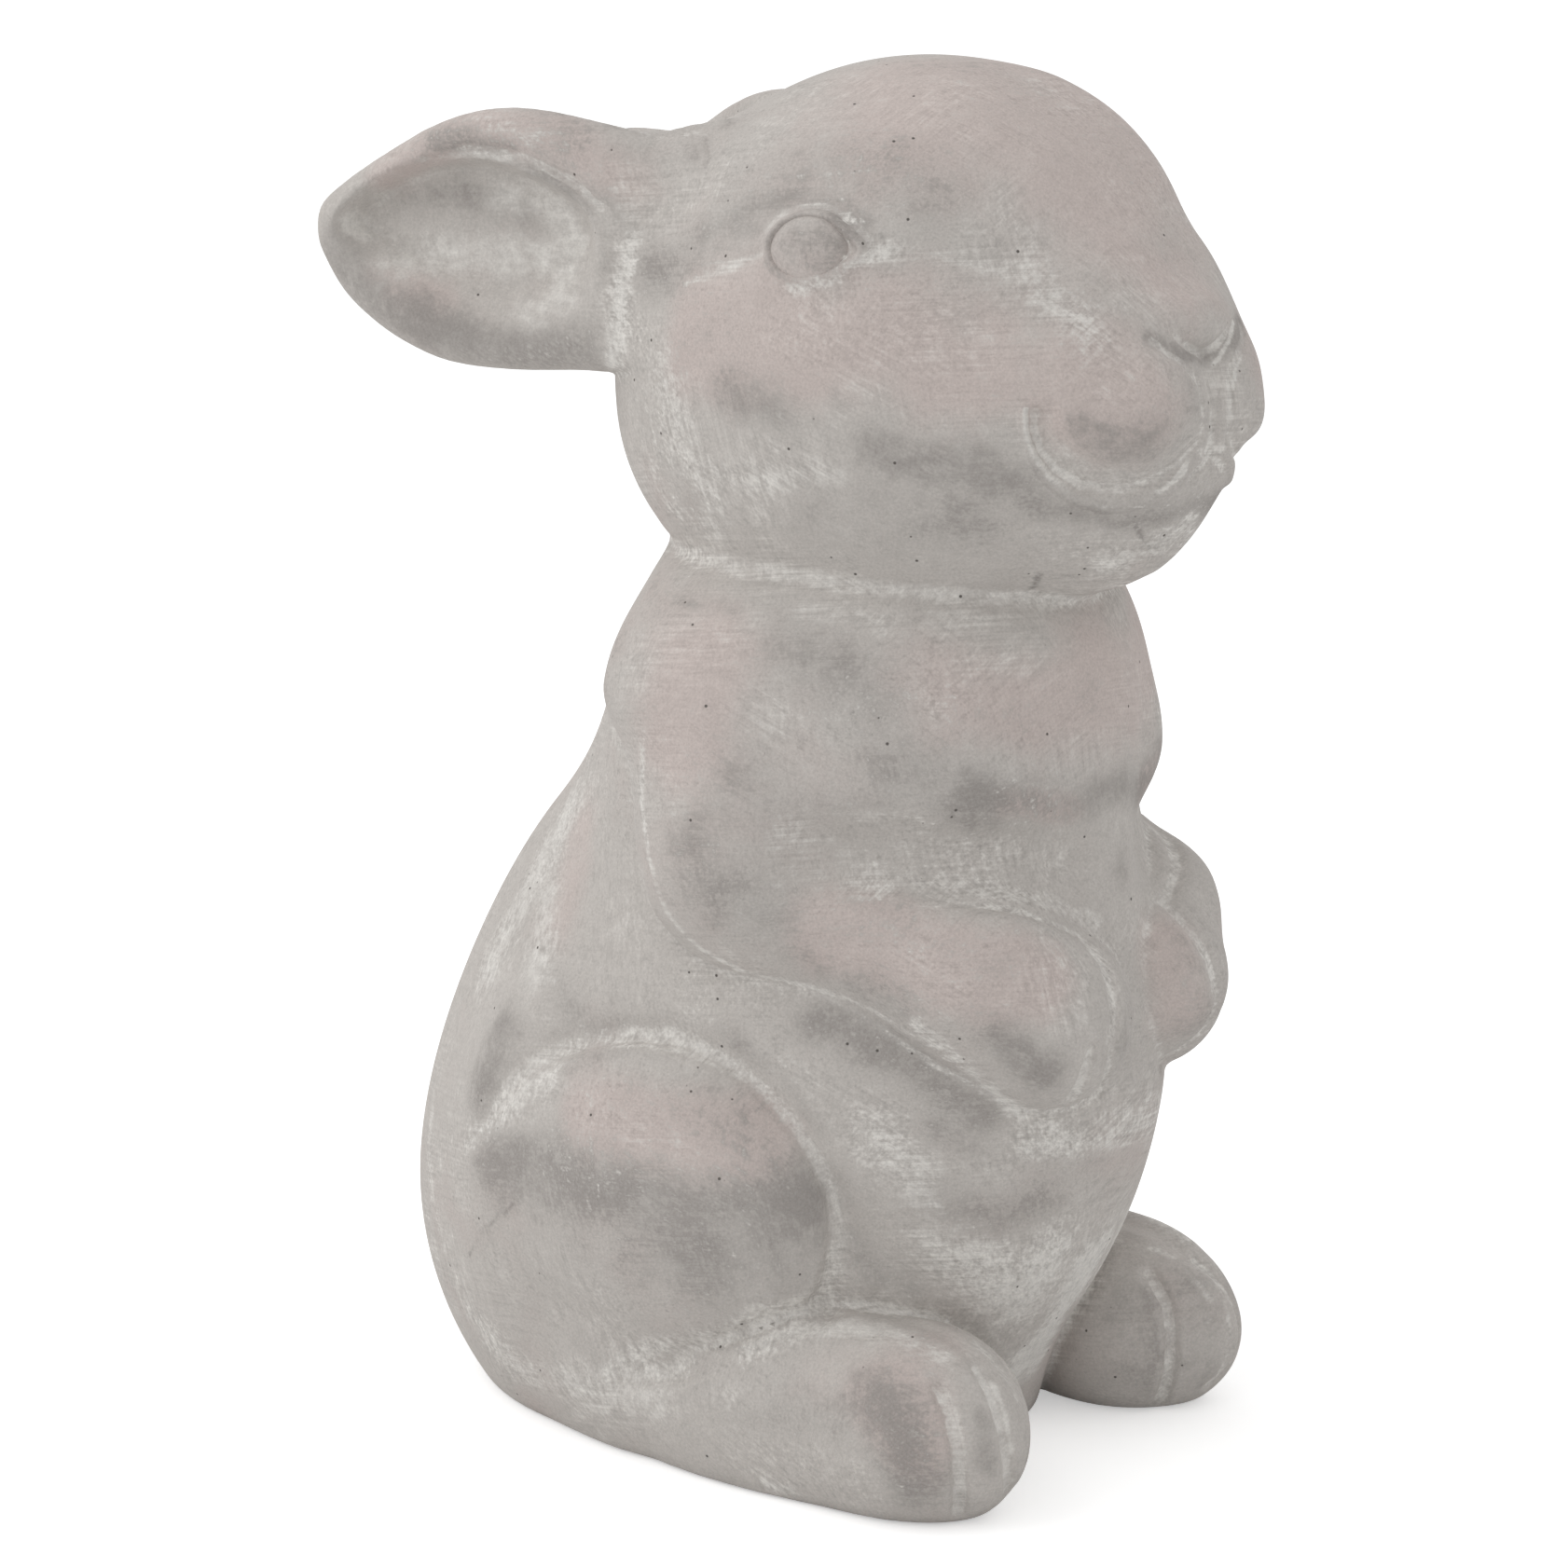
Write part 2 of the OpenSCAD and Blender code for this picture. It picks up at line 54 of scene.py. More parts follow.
def cameraAxes(v):
    azimuth = math.radians(v["azimuth"])
    target = np.array(v["target"])
    away = v["away"] * np.array([math.sin(azimuth), -math.cos(azimuth)])
    place = np.array([target[0] + away[0], target[1] + away[1], v["height"]])
    forward = target - place
    distance = np.linalg.norm(forward)
    forward /= distance
    right = np.cross(forward, [0, 0, 1])
    right /= np.linalg.norm(right)
    return place, forward, right, np.cross(right, forward), distance


def makeCamera(v):
    place, forward, right, up, distance = cameraAxes(v)
    data = bpy.data.cameras.new("photoCamera")
    data.sensor_width = v["sensor"]
    data.lens = v["pixelsPerMm"] * distance / v["size"] * v["sensor"]
    data.clip_end = v["clipEnd"]
    camera = bpy.data.objects.new("photoCamera", data)
    bpy.context.scene.collection.objects.link(camera)
    camera.location = Vector(place / perMetre)
    camera.rotation_mode = "QUATERNION"
    camera.rotation_quaternion = Vector(forward).to_track_quat("-Z", "Y")
    bpy.context.scene.camera = camera


makeCamera(photograph)
print("camera made")


# The camera's place, the way through a pixel of the photograph, and the distance of the target
def pixelWay(px, py):
    place, forward, right, up, distance = cameraAxes(photograph)
    focal = photograph["pixelsPerMm"] * distance
    middle = photograph["size"] / 2
    return place, forward + (px - middle) / focal * right - (py - middle) / focal * up, distance


# Signed distances, near the surface, of points p = (x, y, z) given as three arrays
def oval(p, at, half, turn=0.0):
    x, y, z = p[0] - at[0], p[1] - at[1], p[2] - at[2]
    if turn:
        c, s = math.cos(math.radians(turn)), math.sin(math.radians(turn))
        x, y = c * x + s * y, c * y - s * x
    a, b, c = x / half[0], y / half[1], z / half[2]
    k = np.sqrt(a * a + b * b + c * c)
    g = np.sqrt((a / half[0]) ** 2 + (b / half[1]) ** 2 + (c / half[2]) ** 2)
    return k * (k - 1) / np.maximum(g, 1e-6)


def limb(p, a, b, startRadius, endRadius):
    ab = [b[i] - a[i] for i in range(3)]
    q = [p[i] - a[i] for i in range(3)]
    length = sum(c * c for c in ab)
    t = np.clip((q[0] * ab[0] + q[1] * ab[1] + q[2] * ab[2]) / length, 0, 1)
    off = np.sqrt(sum((q[i] - t * ab[i]) ** 2 for i in range(3)))
    return off - startRadius - (endRadius - startRadius) * t


def melt(a, b, width):
    return np.minimum(a, b) - np.maximum(width - np.abs(a - b), 0) ** 2 / (4 * width)


def ease(a, b, width):
    return -melt(-a, -b, width)


def dip(distance, width, depth):
    return depth * np.exp(-(distance / width) ** 2)


def pathDistance(p, points):
    best = None
    for a, b in zip(points[:-1], points[1:]):
        d = limb(p, a, b, 0, 0)
        best = d if best is None else np.minimum(best, d)
    return best


def rightSide(p):
    return (-np.abs(p[0]), p[1], p[2])


def smooth(t):
    t = np.clip(t, 0, 1)
    return t * t * (3 - 2 * t)


def share(value, start, end):
    return smooth((value - start) / (end - start))


trunk = {
    "rump": ((0, 15.9, 46.4), (65.4, 80.0, 77.1)),
    "waist": ((0, -8.4, 96.6), (55.5, 81.1, 73.1)),
    "chest": ((0, -22.9, 160.5), (59.9, 60.0, 64.1)),
    "belly": ((0, -29.0, 81.0), (44.9, 53.0, 64.8)),
    "lap": ((0, -24.0, 22.0), (46.0, 33.0, 52.0)),
    "waistBlend": 30, "chestBlend": 24, "bellyBlend": 14, "lapBlend": 10,
}


def trunkForm(p):
    f = melt(oval(p, *trunk["rump"]), oval(p, *trunk["waist"]), trunk["waistBlend"])
    f = melt(f, oval(p, *trunk["chest"]), trunk["chestBlend"])
    return melt(f, oval(p, *trunk["belly"]), trunk["bellyBlend"])


# The body comes down full between the feet
def bodyForm(p):
    return melt(trunkForm(p), oval(p, *trunk["lap"]), trunk["lapBlend"])


head = {
    "crown": ((0, -33.5, 265.2), (55.7, 53.6, 41.7)),
    "cheek": ((-21.4, -24.1, 234.4), (35.5, 52.3, 46.0)),
    "nape": ((0, -4.0, 234.0), (40.0, 30.0, 42.0)),
    "snout": ((-1.7, -69.9, 230.5), (25.7, 34.9, 28.2)),
    "pad": ((-14.9, -86.5, 239.2), (16.4, 19.2, 20.8)),
    "chin": ((0, -75.7, 216.8), (18.2, 19.3, 20.3)),
    "nose": ((0, -91.6, 253.2), (17.0, 13.0, 9.0)),
    "cheekBlend": 25, "napeBlend": 12, "snoutBlend": 36, "padBlend": 8, "padSoft": 20, "chinBlend": 12,
    "noseBlend": 3, "noseSoft": 6, "noseCrease": 1.5, "noseCreaseWidth": 1.7,
    # heights and depths over which the pads and the nose run into the bridge
    "padHeight": (232, 250), "padDepth": (-102, -88), "noseHeight": (249, 258),
}


def headForm(p):
    q = rightSide(p)
    f = melt(oval(p, *head["crown"]), oval(q, *head["cheek"]), head["cheekBlend"])
    f = melt(f, oval(p, *head["nape"]), head["napeBlend"])
    f = melt(f, oval(q, *head["snout"]), head["snoutBlend"])
    upper = share(p[2], *head["padHeight"]) * share(p[1], *head["padDepth"])
    f = melt(f, oval(q, *head["pad"]), head["padBlend"] + (head["padSoft"] - head["padBlend"]) * upper)
    f = melt(f, oval(p, *head["chin"]), head["chinBlend"])
    nose = oval(p, *head["nose"])
    bridge = share(p[2], *head["noseHeight"])
    crease = dip(f - nose, head["noseCreaseWidth"], head["noseCrease"]) * (1 - bridge)
    return melt(f, nose, head["noseBlend"] + (head["noseSoft"] - head["noseBlend"]) * bridge) + crease


# The ear's leaf lies in a plane of its own: u runs from its middle to the tip, v runs up
ear = {
    "leaf": ((-50.7, 37.5, 266.9), (7.0, 48.2, 28.0), 12.4),
    "root": ((-33.8, 18.4, 270.3), (7.2, 23.0, 20.6)),
    "rootEnd": (-36, 32), "rootSlope": (0.6, 0.8), "rootSoft": 9,
    "outline": [(-45, 20), (-32, 22.5), (-18, 25.6), (-7, 27.8), (3, 28.3), (13, 26.6), (23, 22.6),
                (34, 16.5), (43, 10.5), (47.6, 6), (48.3, 0), (46.5, -5), (42, -12), (35.5, -17.7),
                (27.5, -22.4), (17, -26), (3, -27), (-12, -26.4), (-28, -25.5), (-42, -22)],
    "bowl": [(-14, 12.5), (0, 18), (13, 19.6), (26, 16.8), (37, 11), (43.5, 4), (42, -3),
             (33, -12), (21, -19), (6, -23), (-8, -21), (-19, -13), (-22, -3), (-20, 6)],
    "back": 6.5, "rim": 6.0, "rimWidth": 6.0, "backWidth": 16.0,
    "hollow": 8.0, "steepEdge": 4.5, "softEdge": 17.0, "softBelow": (-6, 12),
    "fold": [(-4, 15.0), (-11, 10.5), (-17, 5.0), (-22, -2.0)], "foldHeight": 1.6, "foldWidth": 3.2,
    "rootBlend": 14, "edgeRound": 2.5, "proud": 0.8,
    "sunk": 6.5, "sinking": (-44, -20), "upper": (-2, 14),  # the outer face sinks into the head above
    "depths": (-16, 98), "heights": (226, 306), "inner": -20,  # where the leaf is worked out in full
    "bowlRim": (-3, 2), "bowlFace": (-4, -1), "bowlHeight": 230,  # what counts as the bowl for the finish
}


# A closed outline drawn smoothly through its points
def roundOutline(points, steps=4):
    p = np.array(points, float)
    before, after, beyond = np.roll(p, 1, 0), np.roll(p, -1, 0), np.roll(p, -2, 0)
    out = []
    for i in range(len(p)):
        for t in np.arange(steps) / steps:
            a = 2 * p[i] + (after[i] - before[i]) * t
            b = (2 * before[i] - 5 * p[i] + 4 * after[i] - beyond[i]) * t ** 2
            c = (3 * p[i] - before[i] - 3 * after[i] + beyond[i]) * t ** 3
            out.append(tuple((a + b + c) / 2))
    return out


# Signed distance to a closed outline in a plane, below zero inside it
def outlineDistance(u, v, outline):
    best, turns = None, np.zeros(u.shape, bool)
    for (u0, v0), (u1, v1) in zip(outline, outline[1:] + outline[:1]):
        du, dv = u1 - u0, v1 - v0
        t = np.clip(((u - u0) * du + (v - v0) * dv) / (du * du + dv * dv), 0, 1)
        d = (u - u0 - t * du) ** 2 + (v - v0 - t * dv) ** 2
        best = d if best is None else np.minimum(best, d)
        if dv:
            turns ^= ((v0 > v) != (v1 > v)) & (u < u0 + (v - v0) / dv * du)
    return np.where(turns, -1, 1) * np.sqrt(best)


def dome(t):
    t = np.clip(t, 0, 1)
    return np.sqrt(t * (2 - t))


earOutline = roundOutline(ear["outline"])
earBowl = roundOutline(ear["bowl"])


def earPlane(q):
    at, half, turn = ear["leaf"]
    c, s = math.cos(math.radians(turn)), math.sin(math.radians(turn))
    x, y = q[0] - at[0], q[1] - at[1]
    return -(c * x + s * y), c * y - s * x, q[2] - at[2]


def earLeaf(q):
    out, u, v = earPlane(q)
    edge = outlineDistance(u, v, earOutline) - ear["proud"]
    bowl = outlineDistance(u, v, earBowl)
    soft = ear["steepEdge"] + (ear["softEdge"] - ear["steepEdge"]) * share(-v, *ear["softBelow"])
    front = ear["rim"] * dome(-edge / ear["rimWidth"]) - ear["hollow"] * smooth(-bowl / soft)
    front = front - ear["sunk"] * (1 - share(u, *ear["sinking"])) * share(v, *ear["upper"])
    fold = [(a, b, 0) for a, b in ear["fold"]]
    front = front + dip(pathDistance((u, v, 0 * u), fold), ear["foldWidth"], ear["foldHeight"])
    back = -ear["back"] * dome(-edge / ear["backWidth"])
    f = ease(out - front, back - out, ear["edgeRound"])
    return ease(f, edge, ear["edgeRound"])


def earForm(p):
    q = rightSide(p)
    f = oval(q, *ear["leaf"])
    m = q[0] < ear["inner"]
    for c, (low, high) in zip(q[1:], (ear["depths"], ear["heights"])):
        m = m & (c > low) & (c < high)
    if m.any():
        f = f + 0.0
        f[m] = earLeaf(tuple(c[m] for c in q))
    (endX, endY), (slopeX, slopeY) = ear["rootEnd"], ear["rootSlope"]
    behind = slopeX * (q[0] - endX) + slopeY * (q[1] - endY)
    root = ease(oval(q, *ear["root"]), behind, ear["rootSoft"])
    return melt(f, root, ear["rootBlend"])


foreleg = {
    "shoulder": ((-43.5, -11.0, 170.5), 23.7),
    "elbow": ((-45.5, -21.5, 139.0), 22.5),
    "wrist": ((-29.0, -66.5, 116.0), 19.6),
    "paw": ((-20.0, -76.2, 106.0), 20.6),
    "elbowBlend": 14, "wristBlend": 8,
}


def forelegForm(p):
    q = rightSide(p)
    joints = [foreleg[name] for name in ("shoulder", "elbow", "wrist", "paw")]
    upper, fore, hand = [limb(q, a[0], b[0], a[1], b[1]) for a, b in zip(joints[:-1], joints[1:])]
    return melt(melt(upper, fore, foreleg["elbowBlend"]), hand, foreleg["wristBlend"])


# Where the joints between the masses turn soft: stretches along an axis, in mm
softening = {
    "armHeight": (130, 158), "armFront": (6, 28), "armTop": (158, 174),
    "rumpDepth": (16, 44), "heelDepth": (-12, 12),
    "earDepth": (8, 26), "earInside": (-3, 5), "earHeight": (248, 262), "earTop": (274, 286),
    "earCrease": (246, 262),
}


# The upper arm runs into the chest in front and stands off the back behind: 1 in front, 0 behind
def chestShare(p):
    front = share(p[2], *softening["armHeight"]) * share(-p[1], *softening["armFront"])
    return 1 - (1 - front) * (1 - share(p[2], *softening["armTop"]))


hindLeg = {
    "haunch": ((-42.0, 1.7, 61.6), (31.3, 49.3, 45.5)),
    "foot": ((-45.5, -30.0, 17.1), (19.9, 58.8, 26.7)),
    "toes": ((-42.3, -61.6, 17.9), (23.1, 22.1, 19.7)),
    "toeBlend": 10,
}


def haunchForm(p):
    return oval(rightSide(p), *hindLeg["haunch"])


def footForm(p):
    q = rightSide(p)
    return melt(oval(q, *hindLeg["foot"]), oval(q, *hindLeg["toes"]), hindLeg["toeBlend"])


tail = {"scut": ((0, 90.5, 36.0), (18.0, 13.0, 19.0))}


def tailForm(p):
    return oval(p, *tail["scut"])


# Behind and below, the hind leg runs smoothly into the rump: 1 there, 0 in front
def rumpShare(p):
    return share(p[1], *softening["rumpDepth"])


def heelShare(p):
    return share(p[1], *softening["heelDepth"])


def earBackShare(p):
    q = rightSide(p)
    at, half, turn = ear["leaf"]
    inner = (q[0] - at[0]) + math.tan(math.radians(turn)) * (q[1] - at[1])
    inside = share(q[1], *softening["earDepth"]) * share(inner, *softening["earInside"])
    inside = inside * share(q[2], *softening["earHeight"])
    return 1 - (1 - inside) * (1 - share(q[2], *softening["earTop"]))


# The ear's crease is worked only low down, where leaf and cheek meet
def earCreaseShare(p):
    return 1 - share(p[2], *softening["earCrease"])


creaseShares = {"ear": earCreaseShare}

# How the masses meet: blend width, depth and width of the crease worked along the joint,
# and where the joint softens, with the blend width there
joints = {
    "haunch": (haunchForm, 4, 1.5, 2.8, rumpShare, 20),
    "foot": (footForm, 4, 1.1, 2.6, heelShare, 13),
    "tail": (tailForm, 5, 0.8, 3.0, None, 0),
    "foreleg": (forelegForm, 5, 1.0, 2.6, chestShare, 20),
    "head": (headForm, 8, 0.6, 4.0, None, 0),
    "ear": (earForm, 8, 0.8, 3.5, earBackShare, 14),
}
creaseEnd = (1, 6)  # mm past half the blend over which a crease dies away
groundRound = 2.0
forms = ["trunk"] + list(joints)


def allForms(p):
    return [bodyForm(p)] + [joint[0](p) for joint in joints.values()]


def meltedForms(p):
    parts = allForms(p)
    f = parts[0]
    crease = np.zeros_like(f)
    for name, part in zip(joints, parts[1:]):
        form, blend, depth, width, softer, softBlend = joints[name]
        soft = softer(p) if softer else 0
        beside = 1 - share(part, *(0.5 * blend + past for past in creaseEnd))
        if name in creaseShares:
            beside = beside * creaseShares[name](p)
        crease = np.maximum(crease, dip(f - part, width, depth) * (1 - soft) * beside)
        f = melt(f, part, blend + (softBlend - blend) * soft)
    return f + crease


def baseForm(p):
    return ease(meltedForms(p), -p[2], groundRound)


# The pocket in which the plate lies that closes the cast from below
pocket = {"wall": 9.0, "height": 8.3, "skin": 0.6}


def pocketForm(p):
    return np.maximum(trunkForm((p[0], p[1], 0 * p[2])) + pocket["wall"], p[2] - pocket["height"])


sight = {"reach": 190, "step": 0.5}  # mm before and behind the target


# Pixels of the photograph, set down on the sculpt that carries them
def onSculpt(pixels):
    spots = []
    for pixel in pixels:
        place, way, distance = pixelWay(*pixel)
        way /= np.linalg.norm(way)
        steps = np.arange(distance - sight["reach"], distance + sight["reach"], sight["step"])
        ray = place + steps[:, None] * way
        f = baseForm((ray[:, 0], ray[:, 1], ray[:, 2]))
        inside = np.argmax(f < 0)
        if f[inside] >= 0:
            inside = np.argmin(f)
        spots.append(tuple(ray[inside]))
    return spots


# Worked lines: pixels they follow on the near side, then width and depth in mm
lines = {
    # body: wide strokes take clay away, and below zero they lay it on
    "chestUnder": ([(885, 920), (960, 914), (1050, 918), (1140, 928)], 8, 4.6),
    "chestRoll": ([(960, 835), (1040, 846), (1110, 848)], 11, -1.8),
    "chestSide": ([(1236, 745), (1234, 795)], 12, 1.8),
    "crook": ([(868, 925), (880, 932)], 8, 3),
    "forearmTop": ([(890, 938), (973, 949), (1048, 965), (1122, 982), (1160, 1000), (1184, 1030),
                    (1196, 1070), (1197, 1105)], 2.2, 1.8),
    "forearmRoll": ([(905, 985), (973, 995), (1048, 1012), (1110, 1030)], 7, -1.2),
    "haunchRound": ([(513, 1213), (555, 1150), (600, 1125), (643, 1113), (720, 1113), (791, 1148),
                     (850, 1213), (891, 1278), (902, 1331), (884, 1392)], 3.6, 1.6),
    "haunchRim": ([(607, 1143), (670, 1124), (740, 1133), (800, 1167), (850, 1226), (884, 1295),
                   (887, 1339), (867, 1393)], 2.2, -0.9),
    "earRoll": ([(455, 150), (500, 138), (560, 145), (620, 175), (660, 212), (672, 245)], 4, -1),
    "earFold": ([(462, 170), (503, 161), (544, 166), (582, 181), (615, 197), (641, 222)], 1.8, 1.3),
    "toeInside": ([(1234, 1366), (1252, 1400), (1257, 1430), (1255, 1470), (1244, 1505)], 1.6, 2),
    "lap": ([(925, 1335), (960, 1375)], 9, 3),
    "footTop": ([(661, 1485), (732, 1461), (820, 1414), (879, 1396), (944, 1402), (1015, 1431),
                 (1060, 1470)], 3, 1),
    "neck": ([(715, 580), (745, 602), (800, 615), (860, 622), (930, 632), (1000, 640), (1100, 645),
              (1180, 640), (1222, 628)], 3, 0.8),
    "toeOuter": ([(1007, 1488), (1018, 1518), (1027, 1556), (1030, 1592), (1029, 1626)], 1.5, 2.6),
    "toeInner": ([(1050, 1468), (1066, 1500), (1078, 1540), (1082, 1579), (1082, 1603)], 1.5, 2.4),
    "pawOuter": ([(1170, 1128), (1163, 1154), (1150, 1178)], 1.4, 1.4),
    "pawInner": ([(1192, 1118), (1190, 1148), (1178, 1172)], 1.4, 1.2),
    # face
    "temple": ([(705, 300), (760, 262), (815, 222), (872, 203), (935, 212)], 6, 1.1),
    "brow": ([(780, 200), (860, 160), (950, 170)], 10, -1.2),
    "forehead": ([(1140, 85), (1180, 105), (1225, 160)], 11, -1),
    "eyeRear": ([(818, 271), (805, 281), (780, 288), (745, 296)], 1.5, 0.7),
    "eyeFront": ([(934, 268), (950, 270), (975, 273), (1000, 281)], 1.8, 0.6),
    "underEye": ([(830, 322), (875, 328), (920, 312), (955, 288)], 3, 0.6),
    "noseSide": ([(1000, 290), (1080, 322), (1150, 345), (1205, 362)], 11, 0.9),
    "mouth": ([(1109, 446), (1110, 462), (1118, 485), (1134, 505), (1160, 521), (1190, 527), (1215, 525),
               (1242, 516), (1268, 497), (1286, 478)], 1.4, 2.6),
    "mouthSlope": ([(1122, 450), (1126, 468), (1145, 490), (1172, 505), (1195, 511), (1228, 509),
                    (1256, 494), (1278, 474)], 3.6, 1.4),
    "mouthEdge": ([(1102, 446), (1101, 463), (1109, 488), (1124, 512), (1154, 535), (1184, 543),
                   (1212, 541), (1240, 533), (1268, 512)], 1.4, -1.2),
    "padRoll": ([(1150, 455), (1185, 480), (1230, 478)], 6, -1.2),
    "padEdge": ([(1238, 366), (1254, 378), (1274, 392), (1287, 408), (1291, 430), (1293, 450),
                 (1289, 474)], 1.4, 0.9),
    "lipUnder": ([(1288, 481), (1302, 489), (1313, 502)], 1.3, 0.9),
}


lineReach = 3  # widths from its middle at which a worked line has died away


def boxMask(p, points, margin):
    m = np.ones(p[0].shape, bool)
    for axis in range(3):
        c = [s[axis] for s in points]
        m &= (p[axis] > min(c) - margin) & (p[axis] < max(c) + margin)
    return m


def workLine(f, p, points, width, depth):
    m = boxMask(p, points, lineReach * width)
    if m.any():
        sub = tuple(c[m] for c in p)
        f[m] += dip(pathDistance(sub, points), width, depth)
    return f


philtrum = {"path": [(0, -105, 246), (0, -107, 238), (0, -106, 229)], "width": 2.6, "depth": 2.6}
paths = {name: ([(-abs(x), y, z) for x, y, z in onSculpt(v[0])], v[1], v[2]) for name, v in lines.items()}
paths["philtrum"] = (philtrum["path"], philtrum["width"], philtrum["depth"])
print("worked lines set down:", ", ".join(paths))


# The eye's opening is an outline in a plane of its own: s runs forward along the head, t runs up
eye = {
    "middle": (867, 265),  # pixel
    "opening": [(826, 270), (831, 255), (845, 241), (866, 234), (888, 237), (904, 249), (920, 268),
                (904, 283), (880, 295), (854, 297), (834, 287)],
    "lid": 1.2, "upperLid": 0.9, "lidAway": 0.7, "lidWidth": 1.2,
    "fold": 0.15, "foldAway": 3.4, "foldWidth": 1.4,
    "seat": 0.1, "seatWidth": 1.4,
    "upperLidStart": (-2, 4), "reach": 14,
    "ball": (9.2, 7.9, 4.9), "ballSunk": 1.8, "ballBack": -0.3, "ballFullness": 0.9,
    "rings": 28, "sides": 44,
}


def unit(v):
    v = np.array(v, float)
    return v / np.linalg.norm(v)


def eyePlane():
    at = np.array(onSculpt([eye["middle"]])[0])
    out = unit(slope(baseForm, at[None])[0])
    up = unit(np.array([0, 0, 1]) - out[2] * out)
    front = np.cross(up, out)
    opening = []
    for pixel in eye["opening"]:
        place, way, distance = pixelWay(*pixel)
        spot = place + way * ((at - place) @ out) / (way @ out) - at
        opening.append((spot @ front, spot @ up))
    return at, front, up, out, roundOutline(opening)


def columns(points):
    return tuple(points[:, n] for n in range(3))


def slope(form, points, h=0.25):
    g = np.empty_like(points)
    for n in range(3):
        step = np.zeros(3)
        step[n] = h
        g[:, n] = (form(columns(points + step)) - form(columns(points - step))) / (2 * h)
    return g


eyeAt, eyeFront, eyeUp, eyeOut, eyeOpening = eyePlane()


def workEye(f, q):
    away = [q[n] - eyeAt[n] for n in range(3)]
    m = sum(c * c for c in away) < eye["reach"] ** 2
    if m.any():
        away = [c[m] for c in away]
        s = sum(away[n] * eyeFront[n] for n in range(3))
        t = sum(away[n] * eyeUp[n] for n in range(3))
        e = outlineDistance(s, t, eyeOpening)
        above = share(t, *eye["upperLidStart"])
        lid = dip(e - eye["lidAway"], eye["lidWidth"], eye["lid"] + eye["upperLid"] * above)
        fold = dip(e - eye["foldAway"], eye["foldWidth"], eye["fold"]) * above
        f[m] += fold - lid + eye["seat"] * smooth(-e / eye["seatWidth"])
    return f


def fullForm(p):
    f = meltedForms(p)
    q = rightSide(p)
    for points, width, depth in paths.values():
        f = workLine(f, q, points, width, depth)
    f = workEye(f, q)
    return np.maximum(ease(f, -p[2], groundRound), -pocketForm(p))


grid = {
    "step": 1.2, "low": (-76.0, -112.0, -2.5), "high": (0.0, 108.0, 312.0), "block": 8,
    "slack": 1.3, "spare": 4,  # how far off a block's middle the surface may lie and still reach the block
    "batch": 200,
}


# The field on a grid: blocks that the surface can't reach keep the value at their middle
def sampledField(v):
    h, n = v["step"], v["block"]
    size = [n * int(math.ceil((v["high"][a] - v["low"][a]) / (n * h))) for a in range(3)]
    start = np.array([-h * (size[0] - 1), v["low"][1], v["low"][2]])
    field = np.empty(size, np.float32)
    blocks = np.stack(np.meshgrid(*[np.arange(c // n) for c in size], indexing="ij"), -1).reshape(-1, 3)
    middles = baseForm(columns(start + (blocks * n + (n - 1) / 2) * h))
    within = np.stack(np.meshgrid(*[np.arange(n)] * 3, indexing="ij"), -1).reshape(-1, 3)
    reach = 0.5 * math.sqrt(3) * n * h * v["slack"] + v["spare"]
    for block, middle in zip(blocks, middles):
        if abs(middle) > reach:
            i, j, k = block * n
            field[i:i + n, j:j + n, k:k + n] = middle
    near = blocks[np.abs(middles) <= reach]
    for group in np.array_split(near, max(1, len(near) // v["batch"])):
        cells = (group[:, None, :] * n + within[None]).reshape(-1, 3)
        field[tuple(cells.T)] = fullForm(columns(start + cells * h))
    field = np.concatenate([field, field[-2::-1]])
    return field, start, h


# Surface nets: one point in every cell that the surface crosses, one quad across every crossed edge
def netSurface(field, origin, h):
    solid = field < 0
    corner = [(i, j, k) for i in (0, 1) for j in (0, 1) for k in (0, 1)]
    size = np.array(field.shape) - 1
    count = np.zeros(size, np.uint8)
    for i, j, k in corner:
        count += solid[i:size[0] + i, j:size[1] + j, k:size[2] + k]
    cells = np.argwhere((count > 0) & (count < 8))
    index = -np.ones(size, np.int64)
    index[tuple(cells.T)] = np.arange(len(cells))
    values = {c: field[tuple((cells + c).T)] for c in corner}
    total, crossings = np.zeros((len(cells), 3)), np.zeros(len(cells))
    for a in corner:
        for axis in range(3):
            if a[axis]:
                continue
            b = tuple(1 if n == axis else a[n] for n in range(3))
            va, vb = values[a], values[b]
            crossed = (va < 0) != (vb < 0)
            t = np.where(crossed, va / np.where(crossed, va - vb, 1), 0)
            for n in range(3):
                total[:, n] += crossed * (t if n == axis else a[n])
            crossings += crossed
    points = (cells + total / crossings[:, None]) * h + origin
    quads = []
    for axis in range(3):
        low = [slice(1, -1)] * 3
        high = [slice(1, -1)] * 3
        low[axis], high[axis] = slice(0, -1), slice(1, None)
        a, b = solid[tuple(low)], solid[tuple(high)]
        at = np.argwhere(a != b)
        edge = at + [0 if n == axis else 1 for n in range(3)]
        u, w = (axis + 1) % 3, (axis + 2) % 3
        ring = []
        for du, dw in ((-1, -1), (0, -1), (0, 0), (-1, 0)):
            cell = edge.copy()
            cell[:, u] += du
            cell[:, w] += dw
            ring.append(index[tuple(cell.T)])
        quad = np.stack(ring, 1)
        outward = a[tuple(at.T)]
        quad[~outward] = quad[~outward][:, ::-1]
        quads.append(quad)
    return points, np.concatenate(quads)


leastSlope = 0.05  # of a field, squared, so that no point is thrown off where it is flat


